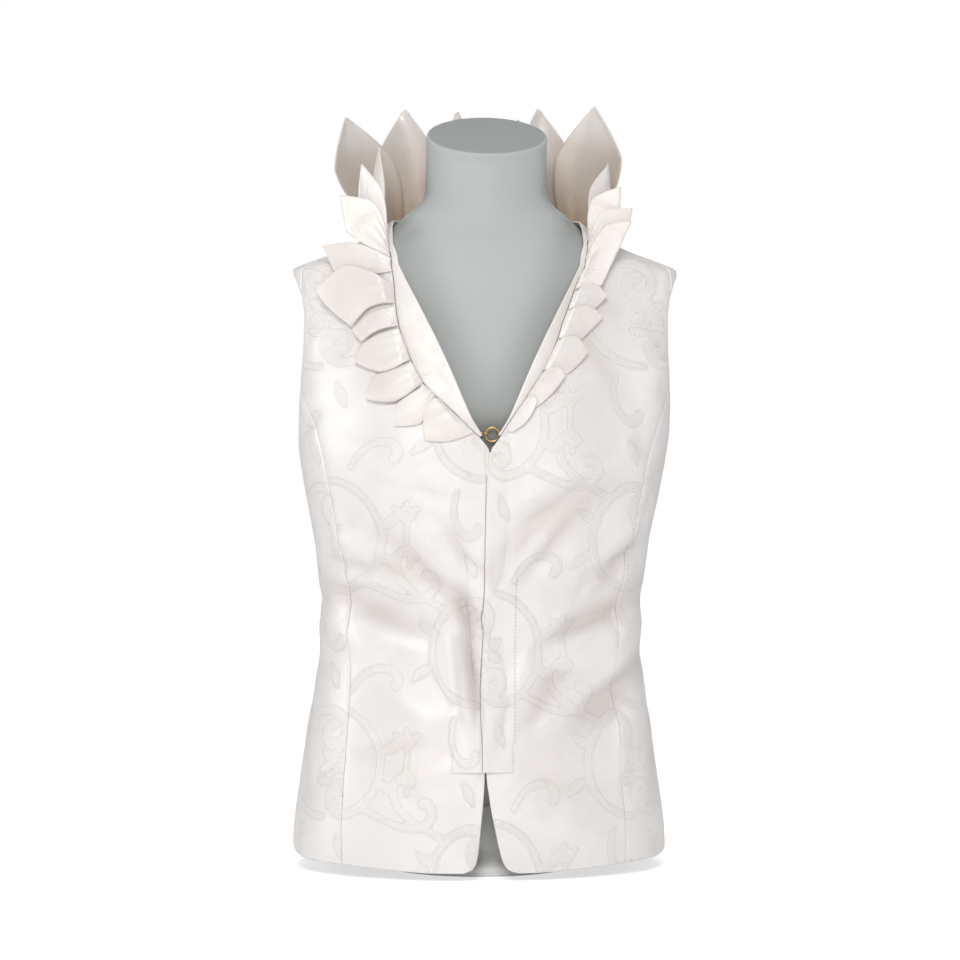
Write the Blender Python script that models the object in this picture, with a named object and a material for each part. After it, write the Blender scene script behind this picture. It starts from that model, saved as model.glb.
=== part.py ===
"""A sleeveless brocade waistcoat with a collar of folded petals, worn by a plain limbless dress form.

Every length is in millimetres until a mesh is made. +Z is up and the front faces -Y.
Left and right are as seen from the front, so left is at -X. The form's foot stands on z = 0.
"""

import math

import bpy
import numpy as np

MM = 0.001

# Driving sizes
CLOTH = 2.0  # brocade with its lining and interfacing
STRIP = 1.3  # the doubled strip of the hidden closing
PETAL = 1.6  # two layers of brocade, turned and pressed
SEAM_GAP = 0.4  # between neighbouring pieces at a seam
REST_GAP = 0.4  # between a piece and what it lies on
STRIP_GAP = 1.2  # under the strips, which bridge the small hollows of the folds
SIDES = {"left": -1, "right": 1}

# Heights on the wearer, from the surface that the foot stands on
V_BOTTOM = 386.0
SPLIT_TOP = 96.0  # where the closing strips end and the fronts part
FORM_BOTTOM = 62.0
NECK_TOP = 685.0
NECK_CAP_TILT = math.radians(23.7)

# Rings of the worn waistcoat's inside, from the hem up to the nape
RING_COLUMNS = ("height", "half_width", "front", "back", "centre", "square")
COAT_RINGS = (
    (-10, 174.0, 123.0, 119.0, 0, 2.25),
    (35, 172.5, 121.0, 117.0, 0, 2.25),
    (78, 167.0, 116.5, 113.0, 0, 2.25),
    (120, 161.0, 110.0, 106.0, 0, 2.25),
    (165, 154.0, 103.0, 97.5, 0, 2.25),
    (205, 149.5, 98.5, 91.0, 0, 2.25),
    (235, 148.5, 98.0, 88.5, 0, 2.25),
    (275, 152.0, 103.5, 91.0, 0, 2.25),
    (310, 157.0, 110.5, 95.0, 0, 2.25),
    (345, 163.5, 117.5, 99.0, 1, 2.25),
    (375, 169.0, 121.0, 101.0, 1, 2.25),
    (410, 174.0, 120.5, 103.0, 2, 2.25),
    (450, 177.0, 115.0, 103.5, 3, 2.25),
    (500, 179.0, 104.5, 101.0, 5, 2.2),
    (530, 181.0, 97.0, 98.0, 7, 2.15),
    (550, 181.5, 91.5, 95.0, 8, 2.1),
    (557, 180.0, 89.0, 93.3, 8, 2.1),
    (563, 168.0, 86.0, 91.3, 8, 2.1),
    (569, 151.0, 83.2, 89.1, 8, 2.1),
    (576, 133.0, 80.0, 86.5, 8, 2.1),
    (584, 117.0, 76.0, 83.0, 8, 2.1),
    (592, 103.0, 72.0, 79.0, 8, 2.1),
    (600, 92.0, 69.0, 75.0, 8, 2.1),
    (610, 81.0, 66.0, 72.0, 8, 2.1),
)
LEAN = 0.013  # the figure stands a little askew, so many millimetres to the right for each one up
LEAN_FROM = 100.0
# Rings of the dress form, from its underside to the top of the neck
FORM_RINGS = (
    (62, 132.0, 80.0, 76.0, 0, 2.2),
    (66, 148.0, 96.0, 92.0, 0, 2.2),
    (78, 158.0, 106.0, 102.0, 0, 2.2),
    (120, 154.0, 102.0, 99.0, 0, 2.2),
    (165, 145.0, 94.0, 90.0, 0, 2.2),
    (205, 139.5, 89.0, 83.0, 0, 2.2),
    (235, 138.0, 88.0, 80.5, 0, 2.2),
    (275, 142.0, 94.0, 84.0, 0, 2.2),
    (310, 148.5, 103.0, 89.0, 0, 2.2),
    (345, 156.5, 111.5, 93.5, 1, 2.2),
    (375, 162.5, 115.0, 96.0, 1, 2.2),
    (410, 166.5, 114.5, 98.0, 2, 2.2),
    (450, 168.0, 108.5, 98.5, 3, 2.2),
    (500, 170.5, 98.0, 96.0, 5, 2.15),
    (530, 173.0, 90.5, 93.0, 7, 2.1),
    (542, 174.0, 88.0, 91.5, 8, 2.1),
    (550, 176.0, 87.0, 90.5, 8, 2.1),
    (556, 173.0, 85.0, 88.5, 8, 2.1),
    (562, 164.0, 82.5, 86.5, 8, 2.1),
    (570, 146.0, 79.0, 83.5, 8, 2.1),
    (580, 122.0, 74.0, 79.5, 8, 2.1),
    (590, 99.0, 69.0, 75.0, 8, 2.1),
    (598, 89.0, 65.5, 72.0, 8, 2.1),
    (608, 78.5, 62.5, 68.0, 8, 2.1),
    (625, 60.5, 57.0, 61.0, 7, 2.0),
    (636, 57.5, 55.0, 58.5, 6, 2.0),
    (656, 57.0, 54.0, 57.0, 4.8, 2.0),
    (720, 57.0, 54.0, 57.0, 0, 2.0),
)
# The waistcoat hangs from the form's shoulders between these heights, this far off them
SHOULDER_FROM = 550.0
SHOULDER_TO = 582.0
SHOULDER_GAP = 2.4
ARM_PLATE = 163.0  # the flat plates where the arms would be stand so far out
FORM_SWELL = 0.9  # share of the garment's bust that the form has itself
FORM_AROUND = 28  # points round the form and its foot
NECK_RIM_SHARE = 0.965  # the flat top against the neck below it
NECK_RIM_DROP = 2.0
# The turned foot, as (radius, height)
FOOT_PROFILE = ((94, 0), (94, 7), (88, 11), (66, 17), (60, 30), (60, FORM_BOTTOM - 0.3))
BUST = {"angle": 36, "height": 378, "spread": 21, "tall": 52, "depth": 6.0}

# The largest soft folds: place, length and width along and across the fold, and depth outwards
FOLD_RADIUS = 120.0  # millimetres that a radian round the body counts for along a fold
FOLD_COLUMNS = ("angle", "height", "slant", "length", "width", "depth")
FOLDS = (
    (-20, 318, -42, 62, 13, -3.2),
    (-13, 286, -38, 60, 12, 2.8),
    (-11, 205, -80, 66, 9, -3.0),
    (-17, 190, -78, 60, 9, 2.4),
    (-52, 240, -25, 40, 14, -3.0),
    (-58, 214, -20, 44, 13, 2.2),
    (26, 322, 40, 60, 14, -2.4),
    (50, 232, 24, 46, 13, -3.4),
    (46, 206, 20, 50, 13, 2.8),
    (62, 176, 28, 42, 13, -2.6),
    (30, 168, 62, 44, 12, -2.0),
    (140, 236, 20, 60, 16, -2.6),
    (-142, 244, -22, 60, 16, -2.6),
    (168, 214, 10, 70, 14, -2.2),
    (-166, 210, -12, 66, 14, -2.2),
)

# Seams and edges, as (degrees round from the front centre, height)
SPACING_RADIUS = 150.0  # millimetres that a radian counts for when points are spaced along a line
PRINCESS = (
    (55.5, 12),
    (57.5, 85),
    (60.5, 165),
    (63.5, 225),
    (64.5, 300),
    (64.8, 363),
    (68.5, 407),
    (78, 446),
)
FRONT_ARMHOLE = ((78, 446), (76.5, 480), (76.5, 510), (78.5, 533))
UNDERARM_FRONT = ((78, 446), (80.5, 418), (86, 396), (93, 388))
UNDERARM_BACK = ((93, 388), (100, 395), (107, 414), (111, 442))
BACK_ARMHOLE = ((111, 442), (113, 480), (110, 515), (102, 545), (91, 558), (83, 549), (78.5, 533))
BACK_PRINCESS = ((119, 21), (117, 85), (114, 165), (113, 235), (113, 300), (113, 363), (111, 442))
SIDE_SEAM = ((93, 27), (93, 120), (93, 235), (93, 320), (93, 388))
SHOULDER_REACH = 105.0  # from the body's middle to its shoulder seams
NAPE_REACH = 75.0

# The edge of the neckline and the seam that holds the petals, as (distance from the centre, height)
NECK_EDGE = (
    (7, 401.5),
    (16, 416),
    (25, 436),
    (36, 462),
    (50, 492),
    (65, 522),
    (78, 547),
    (84, 566),
    (88, 588),
)
NECK_FOOT = ((0.7, V_BOTTOM), (5.5, 394.5))  # where the front itself makes the edge, below the band
PETAL_SEAM = {
    "left": (
        (9.2, 399.5),
        (16, 405),
        (27, 416.5),
        (46, 434),
        (59, 447),
        (71, 469),
        (82, 499),
        (85.5, 520),
        (87, 540),
        (89.5, 562),
        (92.5, 583),
    ),
    "right": (
        (9.2, 401),
        (15.5, 411),
        (24, 423),
        (32.5, 436),
        (52, 466.5),
        (59.5, 484),
        (65, 502),
        (70.5, 516),
        (76.5, 532),
        (84, 549),
        (89, 566),
        (92.5, 583),
    ),
}
NECK_EDGE_BACK = ((80, 603), (100, 606.5), (125, 608), (152, 608.5), (180, 609))
PETAL_SEAM_BACK = ((80, 593), (100, 596), (125, 598.5), (152, 599.5), (180, 600))

# Hems, as (degrees, height); the fronts swing apart below the closing
FRONT_HEM = ((6, 7), (20, 7), (40, 9.5), (55.5, 12))
SIDE_FRONT_HEM = ((55.5, 12), (70, 12.5), (82, 16.5), (89, 22), (93, 27))
SIDE_BACK_HEM = ((93, 27), (98, 23.5), (106, 21), (119, 21))
BACK_HEM = ((119, 21), (150, 21), (180, 21))
FRONT_SWING = {"left": 9.0, "right": 17.0}  # how far each front edge has swung out at the hem
SWING_CURVE = 1.4  # above 1, an edge swings out more and more towards the hem
CORNER = 11.0  # radius of the rounded corner below the closing
CORNER_SHARES = (0, 0.3, 1)  # rows of the corner, as shares of its height
SPLIT_STEPS = 3
NECK_DROP = 0.8  # share of a seam's gap that is taken downwards along the neckline

# The closing strips, each from the centre line outwards
STRIP_INNER = {"left": 3.2, "right": -2.8}
STRIP_OUTER = {"left": 32.0, "right": 27.0}

# Petals that lie on the chest. Their base runs between two heights on the seam, then come the corner at the
# top of the outer end and the one at its foot as (distance, height), how far each edge bellies out and how
# far the lower and the upper edge are lifted off the cloth, which is how they lie over each other.
CHEST_COLUMNS = (
    "low", "high", "top_x", "top_z", "foot_x", "foot_z", "low_belly", "high_belly", "end_belly",
    "low_lift", "high_lift",
)
CHEST_PETALS = {
    "left": (
        (403.5, 434, 58.5, 421, 57, 395.5, 4, 3, 1, 0.4, 4.6),
        (436.5, 445.5, 81.5, 429.5, 83.5, 409, 12, 2, 1, 0.4, 0.4),
        (448, 466.5, 105.5, 452.5, 106.5, 432.5, 9, 3, 1, 4.8, 0.4),
        (469, 497.5, 116, 483, 119, 466, 10, 3, 1, 4.8, 0.4),
        (500, 518.5, 125, 498, 114, 485.5, -3, 5, 1, 4.8, 0.4),
        (521, 538.5, 153, 533.5, 124, 500, -7, 19, 2, 5.4, 8.0),
    ),
    "right": (
        (409, 434.5, 41, 431, 19.5, 403.5, 2, 4, 4, 0.4, 4.4),
        (437, 457, 66, 454, 42, 426.5, 3, 7, 2, 0.4, 4.6),
        (459.5, 486.5, 86.5, 475, 70.5, 457, 3, 9, 1, 0.4, 4.8),
        (489, 513, 101, 508, 82, 487.5, 3, 8, 1, 0.4, 4.8),
        (516, 530.5, 106, 528, 94, 515.5, 3, 9, 1, 0.4, 7.0),
    ),
}
# Petals that stand up round the neck. Their base runs between two angles on the seam in degrees, then come
# the upper and the lower corner of the outer end, the way the width runs, the belly of each edge, how deep
# the petal is cupped, how far its edges are lifted towards the neck and how much its base is raised.
COLLAR_COLUMNS = (
    "low", "high", "top", "foot", "across", "low_belly", "high_belly", "cup",
    "low_lift", "high_lift", "seat",
)
COLLAR_PETALS = {
    "left": (
        (47.8, 50.3, (152, -48, 576), (140.5, -60.5, 549), (0, 0.2, 1), 3, 8, 0, 0.5, 3.5, 0),
        (51, 56, (138, -43, 623), (132, -56, 589.5), (0, 0.3, 1), 2, 19, 1, 0.5, 3.5, 0),
        (56.8, 62, (118, -26, 655), (118.5, -27, 653), (0, 0.3, 1), 13, 10, 2, 0.5, 2.5, -0.3),
        (66, 79, (101, 6, 675.5), (101.5, 4, 674.5), (0.6, 1, 0), 6, 12, 3, 0, 0, -0.7),
        (84, 121, (132.5, 42, 708), (134, 41, 707), (-1, 0.35, 0), 26, 26, 8, 0, 0, 0.4),
        (124, 149, (77, 92, 720), (78.5, 91, 719.5), (-1, 0.35, 0), 29, 20, 8, 0, 7, 0.15),
        (151.5, 178.8, (24, 110, 721), (25.5, 110, 721), (-1, 0.1, 0), 11, 17, 6, 0, 6, 0.1),
    ),
    "right": (
        (41.4, 52, (132, -56, 599), (102.5, -81.5, 538.5), (0, 0.3, 1), 1, 11, 1, 0.3, 3.5, 0),
        (52.6, 57, (134, -42, 612.5), (131.5, -50, 601), (0, 0.3, 1), 2, 16, 1, 0.5, 3.5, -0.3),
        (57.5, 62, (124.5, -28, 634.5), (123.5, -36, 614), (0, 0.4, 1), 2, 17, 1, 0.5, 2.5, -0.3),
        (66, 79, (114, -4, 660), (115, -5, 659), (1, 0.6, 0), 14, 10, 3, 0, 0, -0.5),
        (84, 121, (105, 46, 720.5), (106.5, 45, 719.5), (-1, 0.35, 0), 27, 26, 8, 0, 0, 0.4),
        (124, 149, (56, 97, 722.5), (57.5, 96, 722), (-1, 0.35, 0), 24, 18, 8, 0, 7, 0.15),
        (151.5, 178.8, (36, 112, 716), (37.5, 112, 716), (-1, 0.1, 0), 9, 19, 6, 0, 0, 0),
    ),
}
PETAL_ROWS = 7  # steps along a petal
PETAL_ACROSS = 4  # steps over its width
PETAL_FULL = 0.58  # where along its length an edge bellies out most
PETAL_RISE = 0.15  # the share of its length over which it lifts off the cloth
PETAL_CLOSE = 1.3  # above 1, an edge stays full for longer before it closes in

# The gilt ring behind the foot of the neckline, and the hook as points from the ring's middle
RING = {"x": 2.0, "z": 402.0, "radius": 6.2, "wire": 0.7, "behind": 1.05, "around": 20}
HOOK_WIRE = 0.6
HOOK = (
    (-17.0, 0.2, 1.5),
    (-11.0, 0.2, 1.5),
    (-8.6, -0.6, 1.5),
    (-6.6, -1.9, 1.2),
    (-4.6, -1.9, 0.6),
    (-3.4, -0.8, 0.2),
)

# Steps of the meshes
SEAM_STEPS = 26
CLOSING_STEPS = 18
NECK_STEPS = 13
NAPE_STEPS = 10
FRONT_ACROSS = 11
SIDE_ACROSS = 5
STRIP_ACROSS = 6
BAND_ACROSS = 3

COLOURS = {
    "brocade": ((0.87, 0.84, 0.80, 1), 0.42, 0.0),
    "petal_cloth": ((0.88, 0.85, 0.82, 1), 0.45, 0.0),
    "form_paint": ((0.60, 0.66, 0.65, 1), 0.45, 0.0),
    "foot_paint": ((0.90, 0.90, 0.89, 1), 0.5, 0.0),
    "gilt_wire": ((0.72, 0.50, 0.24, 1), 0.28, 1.0),
}


def smooth(at, knots, values):
    """A cubic through the knots that never overshoots them."""
    knots, values = np.asarray(knots, float), np.asarray(values, float)
    step, rise = np.diff(knots), np.diff(values)
    slope = rise / step
    tangent = np.empty_like(values)
    tangent[0], tangent[-1] = slope[0], slope[-1]
    before, after = slope[:-1], slope[1:]
    same_way = before * after > 0
    shared = np.where(same_way, before + after, 1.0)
    tangent[1:-1] = np.where(same_way, 2 * before * after / shared, 0.0)
    at = np.clip(np.asarray(at, float), knots[0], knots[-1])
    i = np.clip(np.searchsorted(knots, at) - 1, 0, len(step) - 1)
    t = (at - knots[i]) / step[i]
    return (
        values[i]
        + rise[i] * (3 - 2 * t) * t**2
        + step[i] * (tangent[i] * t * (1 - t) ** 2 - tangent[i + 1] * t**2 * (1 - t))
    )


def unit(vectors):
    return vectors / np.linalg.norm(vectors, axis=-1, keepdims=True)


def ring_values(rings, height):
    """The half width, depths, centre and squareness of the rings at a height."""
    columns = np.array(rings, float).T
    return [smooth(height, columns[0], column) for column in columns[1:]]


def ring_point(rings, angle, height):
    """The point at an angle round from the front centre, on the ring at a height."""
    half_width, front, back, centre, square = ring_values(rings, height)
    depth = np.where(np.cos(angle) > 0, front, back)
    reach = np.abs(np.sin(angle) / half_width) ** square + np.abs(np.cos(angle) / depth) ** square
    reach = reach ** (-1 / square)
    return np.stack([reach * np.sin(angle), centre - reach * np.cos(angle), height + 0 * angle], -1)


def outward(angle):
    return np.stack([np.sin(angle), -np.cos(angle), 0 * angle], -1)


def bust_swell(angle, height):
    """How far the two cups stand out."""
    across = (np.abs(np.degrees(angle)) - BUST["angle"]) / BUST["spread"]
    up = (height - BUST["height"]) / BUST["tall"]
    return BUST["depth"] * np.exp(-(across**2) - up**2)


def fold_swell(angle, height):
    """The sum of the soft folds, each a ridge or trough along a slanting line."""
    total = np.zeros(np.shape(angle))
    for row in FOLDS:
        fold = dict(zip(FOLD_COLUMNS, row))
        round_it = np.radians((np.degrees(angle) - fold["angle"] + 180) % 360 - 180) * FOLD_RADIUS
        up = height - fold["height"]
        slant = math.radians(fold["slant"])
        along = round_it * math.cos(slant) + up * math.sin(slant)
        across = up * math.cos(slant) - round_it * math.sin(slant)
        total += fold["depth"] * np.exp(-((along / fold["length"]) ** 2) - (across / fold["width"]) ** 2)
    return total


def coat_surface(angle, height):
    """The inside of the worn cloth."""
    swell = bust_swell(angle, height) + fold_swell(angle, height)
    return ring_point(COAT_RINGS, angle, height) + outward(angle) * swell[..., None]


def coat_normal(angle, height):
    """The way out of the cloth, from small steps round and up."""
    round_it = coat_surface(angle + 1e-3, height) - coat_surface(angle - 1e-3, height)
    up = coat_surface(angle, height + 0.2) - coat_surface(angle, height - 0.2)
    return unit(np.cross(round_it, up))


def angle_of(x, height):
    """The angle at which the front of the ring at a height is that far from the centre line."""
    half_width, front, _, _, square = ring_values(COAT_RINGS, height)
    ahead = front * (1 - np.clip(x / half_width, 0, 1) ** square) ** (1 / square)
    return np.arctan2(x, ahead)


def on_front(rows):
    """Rows of (distance, height) on the front as (angle, height)."""
    x, height = np.array(rows, float).T
    return np.stack([angle_of(x, height), height], -1)


def in_degrees(rows):
    """Rows of (degrees, height) as (angle, height)."""
    angle, height = np.array(rows, float).T
    return np.stack([np.radians(angle), height], -1)


def length_along(points):
    """The distance run along a line of points at each of them."""
    steps = np.linalg.norm(np.diff(points, axis=0), axis=1)
    return np.concatenate([[0], np.cumsum(steps)])


def run(knots, count):
    """Points evenly spaced along a smooth line through knots of (angle, height)."""
    at = length_along(knots * np.array([SPACING_RADIUS, 1.0]))
    at = at / at[-1]
    wanted = np.linspace(0, 1, count + 1)
    return np.stack([smooth(wanted, at, knots[:, k]) for k in (0, 1)], -1)


def joined(*lines):
    """Lines end to end, each starting where the last one ends."""
    return np.concatenate([lines[0]] + [line[1:] for line in lines[1:]])


def patch(left, right, bottom, top):
    """A grid of (angle, height) between four edges. left and right run upwards, bottom and top across."""
    across = np.linspace(0, 1, len(bottom))[None, :, None]
    along = np.linspace(0, 1, len(left))[:, None, None]
    between_sides = (1 - across) * left[:, None] + across * right[:, None]
    between_ends = (1 - along) * bottom[None] + along * top[None]
    corners = (1 - along) * ((1 - across) * bottom[0] + across * bottom[-1])
    corners = corners + along * ((1 - across) * top[0] + across * top[-1])
    return between_sides + between_ends - corners


def shifted(line, distance):
    """A seam line moved round the body by a distance, to leave the gap at the seam."""
    half_width = ring_values(COAT_RINGS, line[:, 1])[0]
    moved = line.copy()
    moved[:, 0] += distance / half_width
    return moved


def material(name):
    made = bpy.data.materials.get(name)
    if made:
        return made
    colour, roughness, metallic = COLOURS[name]
    made = bpy.data.materials.new(name)
    made.use_nodes = True
    shader = made.node_tree.nodes["Principled BSDF"]
    shader.inputs["Base Color"].default_value = colour
    shader.inputs["Roughness"].default_value = roughness
    shader.inputs["Metallic"].default_value = metallic
    return made


def leant(points):
    """Points of the figure, moved over for its lean."""
    points = np.array(points, float)
    points[..., 0] += LEAN * np.clip(points[..., 2] - LEAN_FROM, 0, None)
    return points


def add_mesh(name, points, faces, finish):
    """A named object from points in millimetres, with its faces turned outwards."""
    points = leant(points)
    volume = 0.0
    for face in faces:
        for i in range(1, len(face) - 1):
            a, b, c = points[face[0]], points[face[i]], points[face[i + 1]]
            volume += a @ np.cross(b, c)
    if volume < 0:
        faces = [face[::-1] for face in faces]
    mesh = bpy.data.meshes.new(name)
    mesh.from_pydata((points * MM).tolist(), [], faces)
    mesh.validate()
    mesh.materials.append(material(finish))
    mesh.shade_smooth()
    mesh.set_sharp_from_angle(angle=math.radians(40))
    thing = bpy.data.objects.new(name, mesh)
    bpy.context.scene.collection.objects.link(thing)


def add_wall(name, inner, outer, finish):
    """A closed wall between two grids of points."""
    rows, columns = inner.shape[:2]
    number = np.arange(rows * columns).reshape(rows, columns)
    far = rows * columns
    faces = []
    for r in range(rows - 1):
        for c in range(columns - 1):
            quad = [number[r, c], number[r, c + 1], number[r + 1, c + 1], number[r + 1, c]]
            faces.append([int(i) + far for i in quad])
            faces.append([int(i) for i in quad[::-1]])
    rim = [number[0, c] for c in range(columns)]
    rim += [number[r, -1] for r in range(1, rows)]
    rim += [number[-1, c] for c in range(columns - 2, -1, -1)]
    rim += [number[r, 0] for r in range(rows - 2, 0, -1)]
    for a, b in zip(rim, rim[1:] + rim[:1]):
        faces.append([int(a), int(b), int(b) + far, int(a) + far])
    points = np.concatenate([inner.reshape(-1, 3), outer.reshape(-1, 3)])
    add_mesh(name, points, faces, finish)


def add_cloth(name, grid, side):
    """A wall of cloth over a grid of (angle, height), on one side of the body."""
    angle, height = grid[..., 0] * side, grid[..., 1]
    surface, normal = coat_surface(angle, height), coat_normal(angle, height)
    add_wall(name, surface, surface + normal * CLOTH, "brocade")


def add_rings(name, rings, finish):
    """A closed solid through rings of points, with flat ends."""
    rows, columns = rings.shape[:2]
    faces = [list(range(columns))[::-1]]
    for r in range(rows - 1):
        for c in range(columns):
            d = (c + 1) % columns
            faces.append([r * columns + c, r * columns + d, (r + 1) * columns + d, (r + 1) * columns + c])
    faces.append([(rows - 1) * columns + c for c in range(columns)])
    add_mesh(name, rings.reshape(-1, 3), faces, finish)


def neck_edge_line():
    """The edge of the neckline from the foot of the band to the nape."""
    front = on_front(NECK_EDGE)
    back = np.concatenate([front[-1:], in_degrees(NECK_EDGE_BACK)])
    return joined(run(front, NECK_STEPS), run(back[:2], 1), run(back[1:], NAPE_STEPS))


def petal_seam_line(name):
    """The seam that holds the petals, from its front end to the nape."""
    front = on_front(PETAL_SEAM[name])
    back = np.concatenate([front[-1:], in_degrees(PETAL_SEAM_BACK)])
    return joined(run(front, NECK_STEPS), run(back[:2], 1), run(back[1:], NAPE_STEPS))


def outside(line):
    """A neck seam moved outwards by the gap at the seam."""
    moved = shifted(line, SEAM_GAP)
    moved[:, 1] -= SEAM_GAP * NECK_DROP
    return moved


def front_edge(name):
    """The centre edge of a front from its hem up to the neckline, swung out below the closing."""
    low = FRONT_HEM[0][1]
    corner_rows = low + CORNER * np.array(CORNER_SHARES)
    split_rows = np.linspace(low + CORNER, SPLIT_TOP, SPLIT_STEPS + 1)[1:]
    closing_rows = np.linspace(SPLIT_TOP, V_BOTTOM, CLOSING_STEPS + 1)[1:]
    height = np.concatenate([corner_rows, split_rows, closing_rows])
    fall = np.clip((SPLIT_TOP - height) / (SPLIT_TOP - low), 0, 1)
    corner = np.clip((CORNER + low - height) / CORNER, 0, 1)
    x = NECK_FOOT[0][0] + FRONT_SWING[name] * fall**SWING_CURVE + CORNER * (1 - np.sqrt(1 - corner**2))
    return np.stack([angle_of(x, height), height], -1)


def front_grid(name):
    """A front, from its closing edge to the princess seam and the armhole, and up to the shoulder."""
    edge = front_edge(name)
    seam = outside(petal_seam_line(name)[: NECK_STEPS + 2])
    left = joined(edge, np.concatenate([edge[-1:], on_front(NECK_FOOT[1:]), seam]))
    princess = run(in_degrees(PRINCESS), SEAM_STEPS)
    armhole = run(in_degrees(FRONT_ARMHOLE), len(left) - 1 - SEAM_STEPS)
    right = shifted(joined(princess, armhole), -SEAM_GAP / 2)
    right[-1, 1] -= SEAM_GAP / 2
    left[-1, 1] -= SEAM_GAP / 2
    hem = in_degrees(FRONT_HEM)
    hem[0], hem[-1] = left[0], right[0]
    shoulder = np.stack([left[-1], right[-1]]) - np.array([SEAM_GAP / 2 / SHOULDER_REACH, 0])
    left[-1], right[-1] = shoulder
    return patch(left, right, run(hem, FRONT_ACROSS), run(shoulder, FRONT_ACROSS))


def side_front_grid():
    """The side front, from the princess seam to the side seam, and up to the armhole."""
    left = shifted(run(in_degrees(PRINCESS), SEAM_STEPS), SEAM_GAP / 2)
    right = shifted(run(in_degrees(SIDE_SEAM), SEAM_STEPS), -SEAM_GAP / 2)
    hem, top = in_degrees(SIDE_FRONT_HEM), in_degrees(UNDERARM_FRONT)
    hem[0], hem[-1], top[0], top[-1] = left[0], right[0], left[-1], right[-1]
    return patch(left, right, run(hem, SIDE_ACROSS), run(top, SIDE_ACROSS))


def side_back_grid():
    """The side back, from the side seam to the back princess seam."""
    left = shifted(run(in_degrees(SIDE_SEAM), SEAM_STEPS), SEAM_GAP / 2)
    right = shifted(run(in_degrees(BACK_PRINCESS), SEAM_STEPS), -SEAM_GAP / 2)
    hem, top = in_degrees(SIDE_BACK_HEM), in_degrees(UNDERARM_BACK)
    hem[0], hem[-1], top[0], top[-1] = left[0], right[0], left[-1], right[-1]
    return patch(left, right, run(hem, SIDE_ACROSS), run(top, SIDE_ACROSS))


def back_grid(name):
    """A half back, from the back princess seam and the armhole to the centre back, over the shoulder."""
    princess = run(in_degrees(BACK_PRINCESS), SEAM_STEPS)
    armhole = run(in_degrees(BACK_ARMHOLE), NAPE_STEPS)
    left = shifted(joined(princess, armhole), SEAM_GAP / 2)
    centre = math.pi - SEAM_GAP / 2 / ring_values(COAT_RINGS, SHOULDER_FROM)[2]
    neck = outside(petal_seam_line(name)[NECK_STEPS + 1 :])[::-1]
    neck[0, 0] = centre
    middle_heights = np.linspace(BACK_HEM[-1][1], neck[0, 1], SEAM_STEPS + 1)
    middle = np.stack([np.full(SEAM_STEPS + 1, centre), middle_heights], -1)
    right = joined(middle, neck)
    left[-1, 1] -= SEAM_GAP / 2
    right[-1, 1] -= SEAM_GAP / 2
    hem = in_degrees(BACK_HEM)
    hem[0], hem[-1] = left[0], right[0]
    shoulder = np.stack([left[-1], right[-1]]) + np.array([SEAM_GAP / 2 / SHOULDER_REACH, 0])
    left[-1], right[-1] = shoulder
    return patch(left, right, run(hem, FRONT_ACROSS), run(shoulder, FRONT_ACROSS))


def band_grid(name):
    """The narrow band between the neckline's edge and the seam of the petals."""
    edge, seam = neck_edge_line(), petal_seam_line(name)
    edge[-1, 0] -= SEAM_GAP / 2 / NAPE_REACH
    seam[-1, 0] -= SEAM_GAP / 2 / NAPE_REACH
    across = np.linspace(0, 1, BAND_ACROSS + 1)[None, :, None]
    return (1 - across) * edge[:, None] + across * seam[:, None]


def add_strip(name, side, grid):
    """The doubled strip of the hidden closing, from the front's own points moved out."""
    first = len(CORNER_SHARES) - 1 + SPLIT_STEPS
    grid = grid[first : first + CLOSING_STEPS + 1]
    angle, height = grid[..., 0] * side, grid[..., 1]
    normal = coat_normal(angle, height)
    surface = coat_surface(angle, height) + normal * (CLOTH + STRIP_GAP)
    wanted = np.linspace(STRIP_INNER[name], STRIP_OUTER[name], STRIP_ACROSS + 1) * side
    inner, way_out = np.empty((2, len(grid), len(wanted), 3))
    for row, (points, normals) in enumerate(zip(surface, normal)):
        order = np.argsort(points[:, 0])
        points, normals = points[order], normals[order]
        for k in range(3):
            inner[row, :, k] = np.interp(wanted, points[:, 0], points[:, k])
            way_out[row, :, k] = np.interp(wanted, points[:, 0], normals[:, k])
    inner[..., 0] = wanted
    outer = inner + unit(way_out) * STRIP
    add_wall(f"closing_strip_{name}", inner, outer, "brocade")


def belly(share):
    """How far an edge bellies out at a share of its length: round at first, straight near the end."""
    rise = np.sin(np.clip(share / PETAL_FULL, 0, 1) * math.pi / 2)
    fall = np.clip((share - PETAL_FULL) / (1 - PETAL_FULL), 0, 1)
    return rise * (1 - fall**PETAL_CLOSE)


def petal_shares():
    """Shares of a petal's length and of its width, from the lower edge to the upper."""
    along, across = np.linspace(0, 1, PETAL_ROWS + 1), np.linspace(0, 1, PETAL_ACROSS + 1)
    return np.meshgrid(along, across, indexing="ij")


def petal_lift(petal, along, across):
    """How far the petal stands off what is beneath it."""
    grown = np.clip(along / PETAL_RISE, 0, 1)
    return grown * ((1 - across) * petal["low_lift"] + across * petal["high_lift"])


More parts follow.
